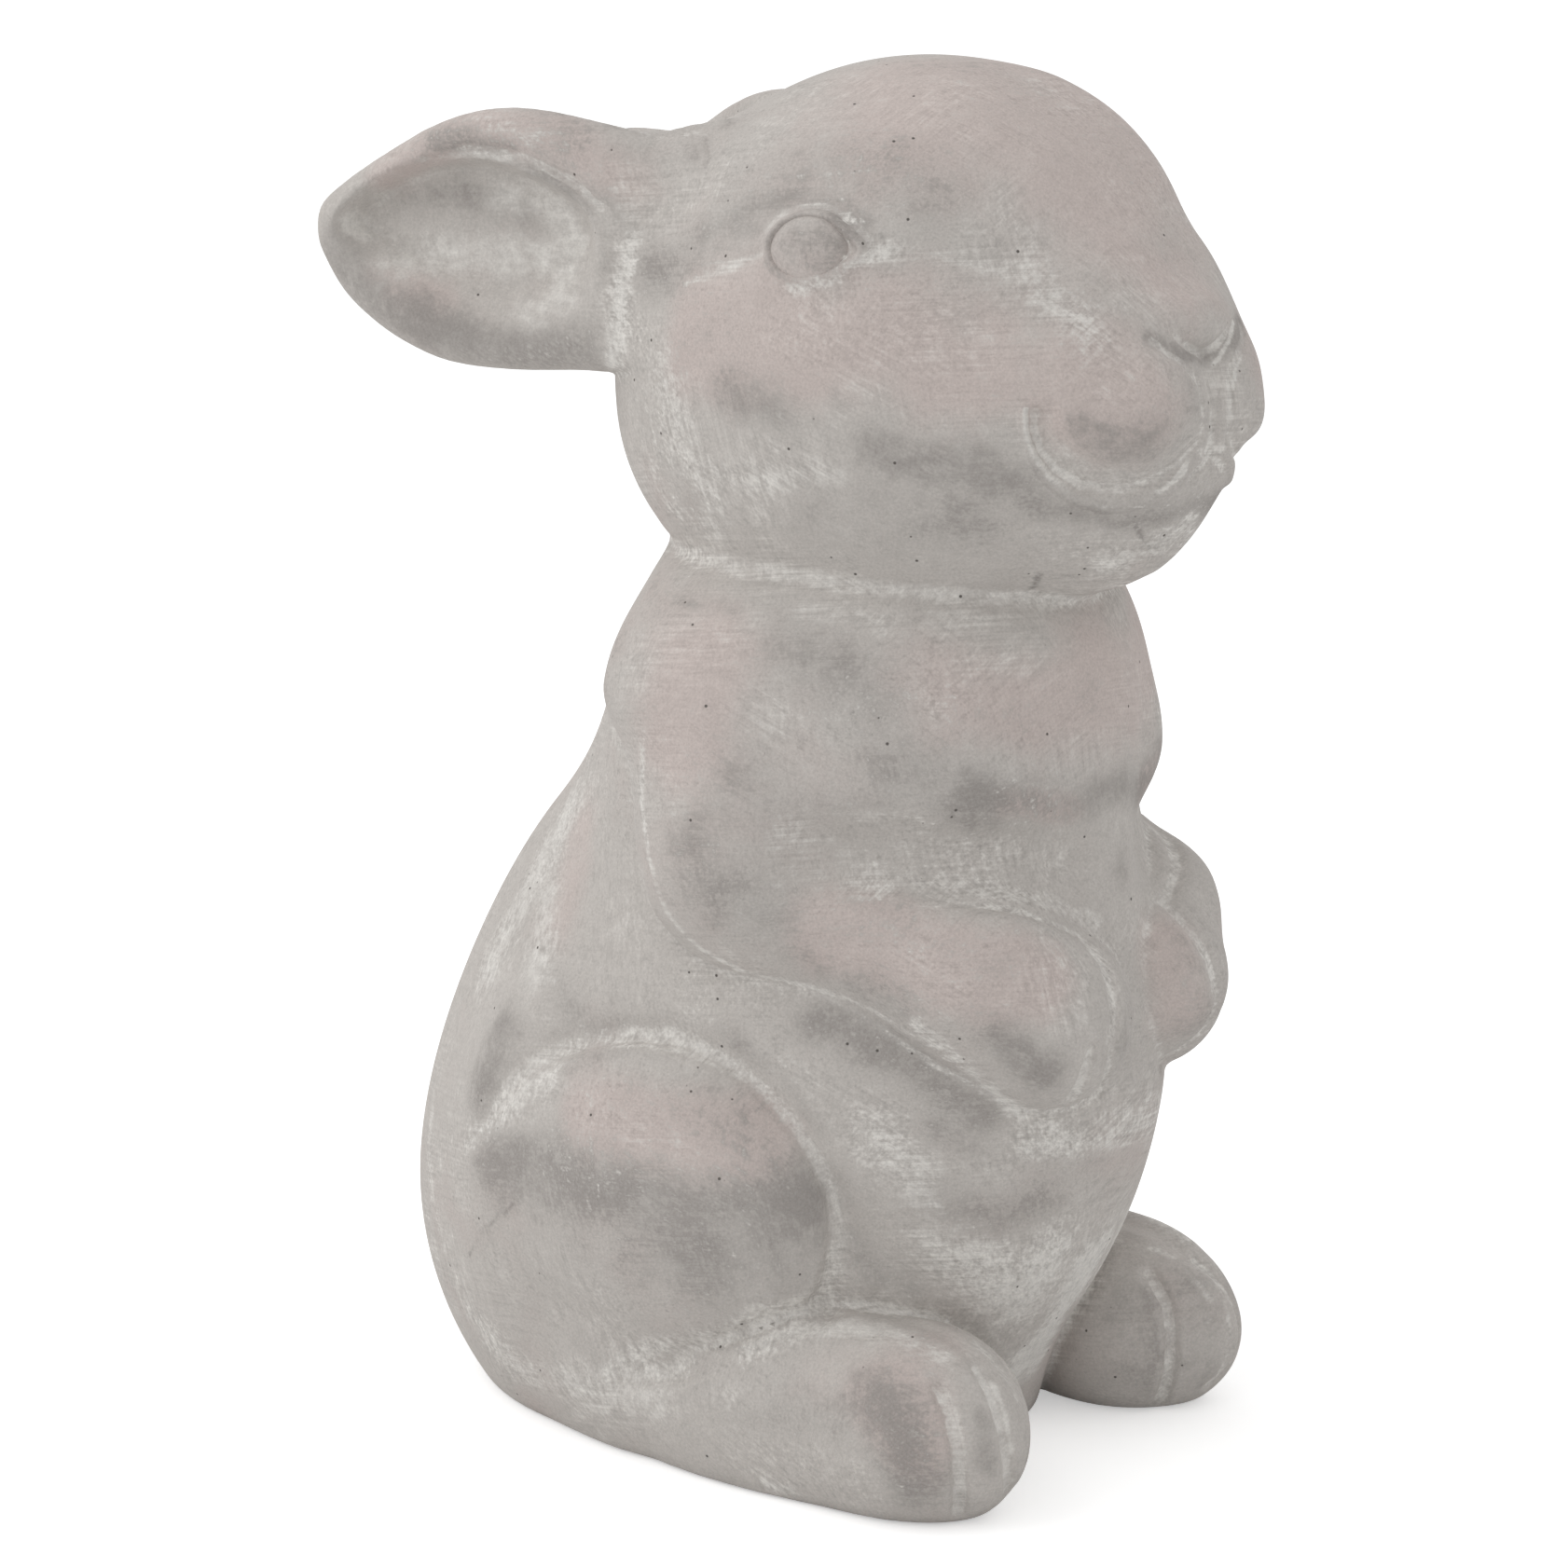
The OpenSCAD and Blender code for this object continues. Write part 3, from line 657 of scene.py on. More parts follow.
# Points are drawn onto the surface, 1 mm a round at most
def settle(points, rounds=3):
    for _ in range(rounds):
        g = slope(fullForm, points)
        f = fullForm(columns(points))
        move = f / np.maximum((g * g).sum(1), leastSlope)
        points = points - np.clip(move, -1, 1)[:, None] * g
        points[:, 2] = np.maximum(points[:, 2], 0)
    return points


# Where the work is fine, each face is parted in four: middle and reach in mm, on the right side.
# The eye comes twice, so that its faces are parted twice
fineWork = [
    ((-54.0, -44.0, 271.0), 15), ((-20.0, -98.0, 238.0), 27), ((-42.0, -80.0, 16.0), 24),
    ((-20.0, -90.0, 98.0), 18), ((-54.0, -44.0, 271.0), 12),
]


def edgeOf(a, b):
    return (a, b) if a < b else (b, a)


def edgesOf(face):
    return zip(face, face[1:] + face[:1])


def partFaces(points, faces, middle, reach):
    q = points.copy()
    q[:, 0] = -np.abs(q[:, 0])
    close = np.linalg.norm(q - middle, axis=1) < reach
    chosen = [len(face) == 4 and all(close[n] for n in face) for face in faces]
    fresh, halfway = [], {}
    count = len(points)
    for face, wanted in zip(faces, chosen):
        if wanted:
            for a, b in edgesOf(face):
                edge = edgeOf(a, b)
                if edge not in halfway:
                    halfway[edge] = count + len(fresh)
                    fresh.append((points[a] + points[b]) / 2)
    out = []
    for face, wanted in zip(faces, chosen):
        between = [halfway.get(edgeOf(a, b)) for a, b in edgesOf(face)]
        if wanted:
            centre = count + len(fresh)
            fresh.append(points[list(face)].mean(0))
            for i in range(4):
                out.append((face[i], between[i], centre, between[i - 1]))
        else:
            out.append(tuple(n for pair in zip(face, between) for n in pair if n is not None))
    return np.vstack([points, fresh]) if fresh else points, out


field, origin, step = sampledField(grid)
points, faces = netSurface(field, origin, step)
points = settle(points)
faces = [tuple(face) for face in faces.tolist()]
for middle, reach in fineWork:
    points, faces = partFaces(points, faces, middle, reach)
points = settle(points)
print("sculpt:", len(points), "points", len(faces), "faces")


jointReach = 0.6  # steps of the grid from which a point is drawn onto a joint


# Points close to a joint between two masses are drawn onto it, so that pieces part on a clean line
def drawToJoints(points, reach):
    parts = np.stack(allForms(columns(points)), 1)
    order = np.argsort(parts, 1)
    nearest, beyond = (np.take_along_axis(parts, order[:, n:n + 1], 1)[:, 0] for n in (0, 1))
    gap = beyond - nearest
    near = np.nonzero(gap < 3 * reach)[0]
    first, second = order[near, 0], order[near, 1]

    def split(p):
        d = np.stack(allForms(p), 1)
        rows = np.arange(len(d))
        return d[rows, second] - d[rows, first]

    s = split(columns(points[near]))
    g = slope(split, points[near])
    normal = slope(fullForm, points[near])
    normal /= np.linalg.norm(normal, axis=1)[:, None]
    g -= (g * normal).sum(1)[:, None] * normal
    size = np.maximum((g * g).sum(1), leastSlope)
    far = s / np.sqrt(size)
    pull = far < reach
    points = points.copy()
    points[near[pull]] -= (s / size)[pull, None] * g[pull]
    return points


points = settle(drawToJoints(points, jointReach * step), 1)
normals = slope(fullForm, points)
normals /= np.linalg.norm(normals, axis=1)[:, None]


def faceOwners(points, faces):
    centres = np.array([points[list(face)].mean(0) for face in faces])
    owner = np.argmin(np.stack(allForms(columns(centres)), 1), 1) * 2
    paired = [forms.index(n) for n in ("haunch", "foot", "foreleg", "ear")]
    owner += (centres[:, 0] > 0) & np.isin(owner // 2, paired)
    owner[pocketForm(columns(centres)) < pocket["skin"]] = 0
    return owner


# Stray islands of an owner join the neighbour that they touch most
def withoutIslands(owner, faces):
    edges = {}
    for f, face in enumerate(faces):
        for a, b in edgesOf(face):
            edges.setdefault(edgeOf(a, b), []).append(f)
    beside = [[] for _ in faces]
    for pair in edges.values():
        if len(pair) == 2:
            beside[pair[0]].append(pair[1])
            beside[pair[1]].append(pair[0])
    for _ in range(2):
        seen = np.zeros(len(faces), bool)
        islands = {}
        for start in range(len(faces)):
            if seen[start]:
                continue
            island, stack = [], [start]
            seen[start] = True
            while stack:
                f = stack.pop()
                island.append(f)
                for n in beside[f]:
                    if not seen[n] and owner[n] == owner[start]:
                        seen[n] = True
                        stack.append(n)
            islands.setdefault(int(owner[start]), []).append(island)
        for own, group in islands.items():
            group.sort(key=len)
            for island in group[:-1]:
                around = [owner[n] for f in island for n in beside[f] if owner[n] != own]
                owner[island] = max(set(around), key=around.count)
    return owner


owners = withoutIslands(faceOwners(points, faces), faces)
print("masses parted:", {n: int((owners // 2 == i).sum()) for i, n in enumerate(forms)})


# The left ear hangs a little lower than the right one, as the photograph shows
droop = {"fall": 2.4, "out": (30, 46), "back": (6, 26), "height": (238, 276)}
laid = points.copy()
laid[:, 2] -= (droop["fall"] * share(points[:, 0], *droop["out"]) * share(points[:, 1], *droop["back"])
               * share(points[:, 2], *droop["height"]))


# Each open rim of a group of faces is closed by a fan to a point well inside the cast
capDepth = 14.0
capPoints = []


def rimCaps(patch):
    count = {}
    for face in patch:
        for a, b in edgesOf(face):
            count[(a, b)] = count.get((a, b), 0) + 1
    after = {}
    for (a, b), times in count.items():
        for _ in range(times - count.get((b, a), 0)):
            after.setdefault(b, []).append(a)
    caps = []
    while after:
        start = at = next(iter(after))
        loop = []
        while not loop or at != start:
            loop.append(at)
            onward = after[at]
            at = onward.pop()
            if not onward:
                del after[loop[-1]]
        deep = len(points) + len(capPoints)
        capPoints.append(points[loop].mean(0) - capDepth * normals[loop].mean(0))
        caps += [(a, b, deep) for a, b in edgesOf(loop)]
    return caps


def facesOf(*names):
    wanted = [forms.index(n.split(".")[0]) * 2 + (n.endswith(".left")) for n in names]
    return [face for face, owner in zip(faces, owners) if owner in wanted]


def enterPiece(mesh, node, masks):
    for label, values in masks.items():
        layer = mesh.attributes.new(label, "FLOAT", "POINT")
        layer.data.foreach_set("value", values.astype(np.float32))
    piece = bpy.data.objects.new(mesh.name, mesh)
    bpy.context.scene.collection.objects.link(piece)
    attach(piece, "root")
    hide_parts(node)
    return piece


def newMesh(name, points, meshFaces):
    mesh = bpy.data.meshes.new(name)
    mesh.from_pydata((points / perMetre).tolist(), [], meshFaces)
    mesh.update()
    mesh.shade_smooth()
    return mesh


def buildPiece(name, node, patch, caps):
    used = sorted({n for face in patch + caps for n in face})
    place = {n: i for i, n in enumerate(used)}
    everyPoint = np.vstack([laid] + capPoints)
    mesh = newMesh(name, everyPoint[used], [[place[n] for n in face] for face in patch + caps])
    loopNormals = [normals[n] for face in patch for n in face]
    for tri in caps:
        a, b, c = (everyPoint[n] for n in tri)
        flat = np.cross(b - a, c - a)
        flat = flat / max(np.linalg.norm(flat), 1e-9)
        loopNormals += [flat] * 3
    mesh.normals_split_custom_set(np.array(loopNormals).tolist())
    spare = np.zeros(len(capPoints))
    return enterPiece(mesh, node, {k: np.append(v, spare)[used] for k, v in paint.items()})


# How hollow (+) or proud (-) the surface is, over a few widths
def hollowness(points, width):
    shifted = [fullForm(columns(points + width * np.array(s))) for s in
               ((1, 0, 0), (-1, 0, 0), (0, 1, 0), (0, -1, 0), (0, 0, 1), (0, 0, -1))]
    return -sum(shifted) / width


# Patches of the finish: pixels that they follow on the near side, reach in mm and strength
# Dark patches: places rubbed down to the darker body, and painted shade in creases, hollows and under
# overhangs, marked one by one
rubAndShadePatches = {
    # painted shade in the crease above the upper lid
    "shadeInLidCrease": ([(752, 252), (812, 222), (855, 211), (895, 218), (922, 240)], 3.6, 0.8),
    "temple": ([(700, 300), (752, 272), (800, 240)], 6, 0.6),
    "aboveEye": ([(870, 190), (942, 190), (990, 225)], 9, 0.45),
    # painted shade under the front of the upper lid
    "shadeUnderLid": ([(899, 233), (913, 248), (922, 265)], 1.2, 1),
    "earFront": ([(706, 290), (716, 305)], 3.5, 0.7),
    "cheekSpot": ([(785, 424), (822, 434), (836, 444)], 6, 0.85),
    "cheekRear": ([(682, 425), (703, 461)], 3, 0.4),
    "cheekLow": ([(942, 478), (985, 494), (1050, 498), (1098, 515)], 6, 0.85),
    "jaw": ([(870, 552), (950, 548), (1010, 560)], 9, 0.55),
    # painted shade on the underside of the muzzle
    "shadeUnderMuzzle": ([(1105, 535), (1150, 550), (1185, 556), (1240, 553), (1300, 530)], 4, 0.8),
    "padLow": ([(1168, 460), (1195, 474), (1225, 476)], 4.5, 0.5),
    # painted shade under the nose tip
    "shadeUnderNose": ([(1235, 363), (1268, 380), (1292, 384)], 2.2, 1),
    "noseTip": ([(1300, 366), (1314, 350)], 2.4, 0.5),
    "lipFront": ([(1300, 440), (1302, 478)], 1.8, 0.5),
    "chin": ([(1230, 590), (1290, 540)], 3.5, 0.4),
    "earTop": ([(471, 150), (503, 146), (545, 162)], 2.6, 0.75),
    # painted shade along the fold of the ear
    "earFold": ([(560, 176), (600, 190), (641, 214), (672, 240)], 2.4, 0.5),
    "earLow": ([(358, 262), (378, 296), (425, 330), (493, 358), (560, 368), (625, 366)], 5, 0.75),
    "earBowl": ([(430, 215), (500, 205), (560, 225)], 4, 0.4),
    "neckSpots": ([(735, 648), (785, 655)], 2.5, 0.5),
    "shoulderFront": ([(850, 690), (900, 722), (935, 760)], 8, 0.65),
    "armUpper": ([(800, 830), (760, 880), (750, 930)], 9, 0.5),
    "elbow": ([(745, 900), (780, 950), (815, 985)], 8, 0.75),
    "chestMiddle": ([(935, 805), (1000, 825)], 5, 0.45),
    # partly rubbing and partly painted shade under the chest's overhang
    "chestLow": ([(1040, 848), (1110, 868), (1165, 866), (1195, 850)], 5, 0.95),
    "chestUnder": ([(1030, 872), (1110, 900)], 6, 0.55),
    "forearmLow": ([(840, 1020), (900, 1050), (960, 1070)], 5, 0.45),
    "paw": ([(1080, 1110), (1100, 1140), (1120, 1150)], 5, 0.9),
    "farArm": ([(1208, 925), (1222, 950)], 5.5, 0.7),
    "farPaw": ([(1200, 1130), (1240, 1150)], 5, 0.4),
    # painted shade under the forearm
    "shadeUnderArm": ([(874, 1094), (954, 1122), (1013, 1162), (1063, 1196)], 5, 0.85),
    "backStreak": ([(590, 1050), (612, 1082)], 4, 0.7),
    "backEdge": ([(545, 1095), (530, 1130), (515, 1165)], 7, 0.8),
    "haunchEdge": ([(576, 1112), (688, 1096), (777, 1110), (845, 1158), (884, 1215)], 2.2, 0.45),
    "haunchBand": ([(535, 1245), (621, 1256), (690, 1280), (740, 1295), (800, 1292), (855, 1285)],
                   8.5, 0.95),
    "haunchMiddle": ([(720, 1310), (760, 1345), (810, 1330)], 13, 0.95),
    "haunchTop": ([(650, 1195), (720, 1190), (790, 1225)], 9, 0.35),
    # painted shade in the hollow between haunch, belly and foot
    "lap": ([(912, 1340), (930, 1362), (970, 1382)], 4.5, 0.85),
    "belly": ([(1000, 1284), (1067, 1306), (1110, 1296)], 6, 0.5),
    "bellyTop": ([(1010, 1215), (1060, 1240)], 4, 0.4),
    "ankle": ([(625, 1440), (640, 1460)], 3.5, 0.5),
    "footSide": ([(786, 1520), (850, 1525), (900, 1520)], 5, 0.5),
    "footToes": ([(940, 1500), (978, 1540), (985, 1590)], 7, 0.85),
    "toeMiddle": ([(1052, 1520), (1058, 1570)], 3, 0.7),
    "toeFront": ([(1100, 1500), (1105, 1560)], 3, 0.6),
    "farFoot": ([(1205, 1395), (1235, 1400), (1243, 1440), (1232, 1490)], 5, 0.5),
    "farToes": ([(1283, 1380), (1290, 1430), (1285, 1480)], 4.5, 0.5),
    # painted shade on the lower side of the eyeball, so that it reads round
    "ballLowShade": ([(862, 272), (885, 282), (893, 268)], 2.6, 0.9),
    "ballAll": ([(853, 262), (872, 266)], 5, 0.45),
    "ballHoles": ([(873, 244), (877, 239)], 0.35, 2.6),
    "chinScratch": ([(1214, 560), (1224, 573), (1233, 587)], 0.5, 1.7),
    "neckScratch": ([(1115, 616), (1110, 628), (1102, 640)], 0.6, 1.7),
    "rumpScratch": ([(503, 1350), (520, 1318), (560, 1285)], 0.4, 1.2),
}
# Pale patches: wash settled on the cast, and painted light on the low belly, marked below
washAndLightPatches = {
    "lidRing": ([(825, 272), (829, 252), (845, 236), (868, 230)], 0.8, 0.9),
    "lidLow": ([(824, 284), (836, 298), (860, 307), (890, 301), (914, 285)], 1.2, 1.1),
    "underEye": ([(850, 309), (888, 300), (922, 280), (953, 268)], 2.6, 0.9),
    "eyeRing": ([(829, 268), (831, 255), (844, 241), (862, 234)], 1, 1.8),
    "eyeRingLow": ([(828, 275), (836, 290), (852, 298), (872, 299), (890, 291), (906, 278)], 1, 2.2),
    "eyeCorner": ([(953, 268), (1000, 273), (1040, 282), (1080, 290)], 2.2, 0.5),
    "behindEye": ([(736, 303), (779, 288), (818, 272)], 1.8, 0.85),
    "cheekTop": ([(745, 500), (800, 512), (900, 508)], 4.5, 0.5),
    "cheekLight": ([(720, 390), (740, 500), (760, 540)], 8, 0.6),
    "cheekBack": ([(700, 500), (715, 540), (770, 568)], 5, 0.5),
    "bridge": ([(1105, 290), (1118, 318), (1150, 335), (1165, 360)], 7, 0.75),
    "jawRear": ([(690, 420), (705, 480), (735, 510)], 1.5, 0.5),
    "mouthRim": ([(1101, 440), (1100, 463), (1109, 488), (1126, 512), (1154, 533), (1184, 542),
                  (1215, 540), (1245, 526), (1268, 507), (1284, 480)], 1, 2),
    "mouthSlope": ([(1140, 492), (1165, 512), (1195, 521), (1230, 516), (1262, 495)], 2.4, 0.3),
    "padEdge": ([(1233, 362), (1250, 375), (1268, 390), (1282, 406), (1290, 428), (1292, 446), (1288, 468),
                 (1276, 487), (1258, 505), (1234, 517)], 0.7, 1.8),
    "noseEdge": ([(1297, 398), (1307, 384), (1318, 366), (1323, 345)], 0.7, 1.6),
    "lipEdge": ([(1286, 484), (1300, 492), (1311, 502), (1316, 514)], 0.8, 1.5),
    "earBowlEnd": ([(540, 212), (600, 225), (612, 262), (600, 315), (570, 335)], 7, 0.8),
    "earBowlMiddle": ([(430, 282), (520, 272), (600, 275)], 8, 0.75),
    "earTip": ([(377, 238), (392, 252)], 4.5, 0.85),
    "earRimTop": ([(530, 138), (600, 150)], 4, 0.5),
    "earRimUnder": ([(455, 172), (500, 167), (545, 170)], 2.2, 0.7),
    "earRoot": ([(680, 255), (670, 300), (664, 345), (659, 390)], 3.6, 1),
    "earRootTop": ([(664, 205), (672, 230)], 3, 0.5),
    "neckLine": ([(715, 588), (745, 603), (800, 617), (900, 628), (1000, 637), (1100, 642), (1225, 622)],
                 1.4, 0.7),
    "underJaw": ([(1190, 605), (1235, 588), (1275, 560)], 6, 0.65),
    "chestTop": ([(860, 655), (960, 668), (1060, 660), (1180, 650)], 4, 0.45),
    "chestLedge": ([(1072, 832), (1096, 840), (1120, 845)], 1.4, 0.9),
    "armRear": ([(690, 800), (688, 860), (698, 925), (718, 982), (760, 1022), (795, 1040)], 1.6, 1),
    "armNotch": ([(655, 785), (672, 810)], 4, 0.7),
    "crook": ([(846, 896), (868, 918), (902, 935), (945, 944)], 6.5, 1.1),
    "forearmTop": ([(884, 930), (964, 938), (1050, 952)], 3.6, 1),
    "wristTop": ([(1040, 950), (1138, 972), (1175, 990)], 3.6, 0.9),
    "chestValley": ([(900, 870), (960, 885), (1020, 915), (1090, 945)], 5, 0.45),
    "wristFront": ([(1155, 985), (1186, 1030), (1197, 1072), (1195, 1112)], 1.8, 0.8),
    "underForearm": ([(790, 1040), (860, 1055), (930, 1080), (985, 1112)], 1.8, 0.9),
    "underWrist": ([(985, 1100), (1020, 1130), (1060, 1165), (1095, 1188)], 4, 0.9),
    "pawLines": ([(1172, 1126), (1165, 1154), (1152, 1180)], 1, 1),
    "pawInner": ([(1192, 1120), (1190, 1150), (1178, 1176)], 1.2, 0.9),
    "belowPaw": ([(1110, 1205), (1160, 1215), (1210, 1185)], 3.5, 0.6),
    "haunchRim": ([(509, 1212), (554, 1170), (607, 1143), (670, 1121), (745, 1130), (812, 1166), (862, 1222),
                   (890, 1290), (894, 1339), (875, 1393)], 1.1, 1.1),
    "haunchBack": ([(505, 1225), (540, 1185), (590, 1155)], 5.5, 0.55),
    "haunchLow": ([(650, 1470), (730, 1440), (810, 1412), (870, 1398)], 5, 0.7),
    "footTop": ([(800, 1450), (880, 1424), (950, 1428), (1010, 1455)], 4.5, 0.75),
    "footFront": ([(1000, 1412), (1050, 1445), (1090, 1500)], 1.6, 0.7),
    "toeOuter": ([(1012, 1485), (1024, 1515), (1032, 1550), (1034, 1590), (1032, 1624)], 1.1, 1),
    "toeInner": ([(1060, 1475), (1074, 1505), (1084, 1545), (1086, 1598)], 1.1, 1),
    "footHeel": ([(820, 1590), (850, 1600)], 2.2, 0.7),
    "rumpLow": ([(500, 1400), (560, 1470), (620, 1490), (700, 1500)], 9, 0.6),
    "rumpBack": ([(465, 1180), (462, 1260), (475, 1330)], 4, 0.5),
    "backUpper": ([(610, 870), (565, 960), (525, 1040)], 9, 0.8),
    "backMiddle": ([(590, 960), (575, 1040)], 8, 0.6),
    # painted light on the low belly, as if lit from the bright floor
    "bellyFootLight": ([(1090, 1470), (1130, 1420), (1165, 1350)], 9, 1.3),
    "bellyLowLight": ([(1040, 1345), (1090, 1400), (1120, 1350)], 12, 0.9),
    "bellyTop": ([(1110, 1225), (1180, 1225), (1225, 1200)], 6, 0.8),
    "bellySide": ([(940, 1220), (980, 1250), (1010, 1350), (1110, 1400), (1180, 1330)], 9, 0.6),
    "farToeLines": ([(1236, 1368), (1254, 1400), (1259, 1430), (1257, 1470), (1246, 1505)], 1, 1.1),
    "farToeInner": ([(1303, 1372), (1318, 1419), (1309, 1470)], 1.1, 0.9),
    "ballEdge": ([(838, 262), (848, 248), (866, 240), (884, 242)], 1, 0.5),
}
oneSided = ("wristFront", "wristTop", "pawLines", "pawInner", "paw", "chestLedge", "shoulderFront",
            "padLow", "forearm")
warmPatches = {
    "forehead": ([(980, 120), (1080, 110), (1170, 170)], 22, 0.8),
    "earOuter": ([(420, 190), (500, 130), (600, 150), (680, 200)], 6, 0.7),
    "earLow": ([(400, 290), (470, 325)], 4, 0.5),
    "cheek": ([(760, 370), (860, 370), (960, 360), (1030, 400)], 14, 0.9),
    "muzzle": ([(1150, 420), (1220, 430)], 12, 0.9),
    "nose": ([(1200, 260), (1260, 310)], 10, 0.6),
    "chest": ([(1020, 740), (1120, 760), (1190, 740)], 13, 0.9),
    "chestLow": ([(1080, 860), (1150, 870)], 4, 0.9),
    "shoulder": ([(750, 700), (730, 790)], 10, 0.7),
    "forearm": ([(900, 1000), (1010, 1030), (1120, 1050)], 9, 1),
    "farPaw": ([(1250, 1010), (1260, 1080)], 8, 0.8),
    "haunch": ([(640, 1200), (730, 1210), (800, 1230)], 9, 1),
    "back": ([(620, 900), (600, 980)], 9, 0.5),
    "footToes": ([(950, 1500), (985, 1550)], 7, 0.9),
    "ball": ([(855, 262), (862, 278)], 2.5, 0.4),
}
# Each mask of the finish: its patches, and how many times its reach a patch takes to die away
patchMasks = {"rubbedAndShade": (rubAndShadePatches, 1.9), "washedAndLit": (washAndLightPatches, 1.2), "warmed": (warmPatches, 1.8)}
farSide = 6  # mm past the middle, from where a patch is one that only the far side has


# Patches lie on both sides, but for those of the far side and those in oneSided
def patchMask(points, patches, spread):
    near = rightSide(columns(points))
    far = columns(points)
    mask = np.zeros(len(points))
    for name, (pixels, reach, strength) in patches.items():
        spots = onSculpt(pixels)
        p = far if name in oneSided or np.mean([spot[0] for spot in spots]) > farSide else near
        m = boxMask(p, spots, spread * reach)
        if m.any():
            away = pathDistance(tuple(c[m] for c in p), spots)
            mask[m] = np.maximum(mask[m], strength * (1 - share(away, 0, spread * reach)))
    return mask


def patchesAt(points):
    return {label: patchMask(points, *given) for label, given in patchMasks.items()}


def bowlShare(points):
    q = rightSide(columns(points))
    out, u, v = earPlane(q)
    bowl = outlineDistance(u, v, earBowl)
    inside = (1 - share(bowl, *ear["bowlRim"])) * share(out, *ear["bowlFace"])
    return inside * (q[1] > 0) * (q[2] > ear["bowlHeight"])


hollowWidths = {"hollowFine": 1.5, "hollowWide": 5.0}
paint = {label: hollowness(points, width) for label, width in hollowWidths.items()}
paint.update(bowl=bowlShare(points), **patchesAt(points))
print("masks of the finish:", ", ".join(paint))

pieces = {}
headCaps = rimCaps(facesOf("head", "ear", "ear.left"))
trunkCaps = [tri[::-1] for tri in headCaps]
sides = {"_right": "", "_left": ".left"}
# What is laid on trunk and head: form, node, slot, the caps of what carries it, and its sides
laidOn = [
    ("haunch", "haunch", "limbs", trunkCaps, sides),
    ("foot", "hind_foot", "limbs", trunkCaps, sides),
    ("foreleg", "foreleg", "limbs", trunkCaps, sides),
    ("tail", "tail", "tail", trunkCaps, {"": ""}),
    ("ear", "ear", "ears", headCaps, sides),
]
for form, node, slotName, carrierCaps, suffixes in laidOn:
    for suffix, tag in suffixes.items():
        patch = facesOf(form + tag)
        caps = rimCaps(patch)
        carrierCaps += [tri[::-1] for tri in caps]
        pieces[node + suffix] = buildPiece(node + suffix + "_cast", node + suffix, patch, caps)
pieces["head"] = buildPiece("head_cast", "head_shell", facesOf("head"), headCaps)
pieces["trunk"] = buildPiece("trunk_cast", "trunk_shell", facesOf("trunk"), trunkCaps)


# An eyeball: a shallow dome over the seat, drawn in behind to a blunt back
def buildEyeball(suffix, side):
    rings, sides = eye["rings"], eye["sides"]
    a, b, c = eye["ball"]
    verts = [(0, 0, c)]
    for i in range(1, rings):
        lean = math.pi * i / rings
        wide, deep = math.sin(lean) ** eye["ballFullness"], math.cos(lean)
        deep = c * deep if deep > 0 else -eye["ballBack"] * c * deep
        for j in range(sides):
            turn = 2 * math.pi * j / sides
            verts.append((a * wide * math.cos(turn), b * wide * math.sin(turn), deep))
    verts.append((0, 0, eye["ballBack"] * c))
    ballFaces = []
    last = len(verts) - 1
    for j in range(sides):
        k = (j + 1) % sides
        ballFaces.append((0, 1 + j, 1 + k))
        for i in range(rings - 2):
            r = 1 + i * sides
            ballFaces.append((r + j, r + sides + j, r + sides + k, r + k))
        ballFaces.append((last, last - sides + k, last - sides + j))
    base = eyeAt - eye["ballSunk"] * eyeOut
    spots = np.array([base + s * eyeFront + t * eyeUp + d * eyeOut for s, t, d in verts])
    if side > 0:
        spots[:, 0] *= -1
    else:
        ballFaces = [face[::-1] for face in ballFaces]
    mesh = newMesh("eye" + suffix + "_cast", spots, ballFaces)
    return enterPiece(mesh, "eye" + suffix, patchesAt(spots))


pieces["eye_right"] = buildEyeball("_right", -1)
pieces["eye_left"] = buildEyeball("_left", 1)
print("pieces built:", len(pieces))


def addNode(tree, kind, inputs=(), **settings):
    node = tree.nodes.new(kind)
    for key, value in settings.items():
        setattr(node, key, value)
    for key, value in dict(inputs).items():
        if isinstance(value, bpy.types.NodeSocket):
            tree.links.new(value, node.inputs[key])
        else:
            node.inputs[key].default_value = value
    return node


def newGroup(name, inputs, outputs):
    group = bpy.data.node_groups.new(name, "ShaderNodeTree")
    for label, kind, value in inputs:
        socket = group.interface.new_socket(label, in_out="INPUT", socket_type=kind)
        if value is not None:
            socket.default_value = value
    for label, kind in outputs:
        group.interface.new_socket(label, in_out="OUTPUT", socket_type=kind)
    return group, group.nodes.new("NodeGroupInput").outputs, group.nodes.new("NodeGroupOutput").inputs


def reckon(tree, work, a, b=0.0):
    return addNode(tree, "ShaderNodeMath", {0: a, 1: b}, operation=work).outputs[0]


# Adding, taking away and multiplying in one tree
def sums(tree):
    return [lambda a, b, work=work: reckon(tree, work, a, b) for work in ("ADD", "SUBTRACT", "MULTIPLY")]


# 1 where the camera sees something directly, in a mirror or through glass
def seenIn(tree):
    rays = addNode(tree, "ShaderNodeLightPath").outputs
    mirrored = reckon(tree, "MAXIMUM", rays["Is Glossy Ray"], rays["Is Transmission Ray"])
    return reckon(tree, "MAXIMUM", rays["Is Camera Ray"], mirrored)


def scaled(tree, vector, scale):
    return addNode(tree, "ShaderNodeVectorMath", {0: vector, "Scale": scale}, operation="SCALE").outputs[0]


def ramp(tree, value, start, end, low=0.0, high=1.0):
    return addNode(tree, "ShaderNodeMapRange", {"Value": value, "From Min": start, "From Max": end,
                   "To Min": low, "To Max": high}, interpolation_type="SMOOTHSTEP").outputs["Result"]


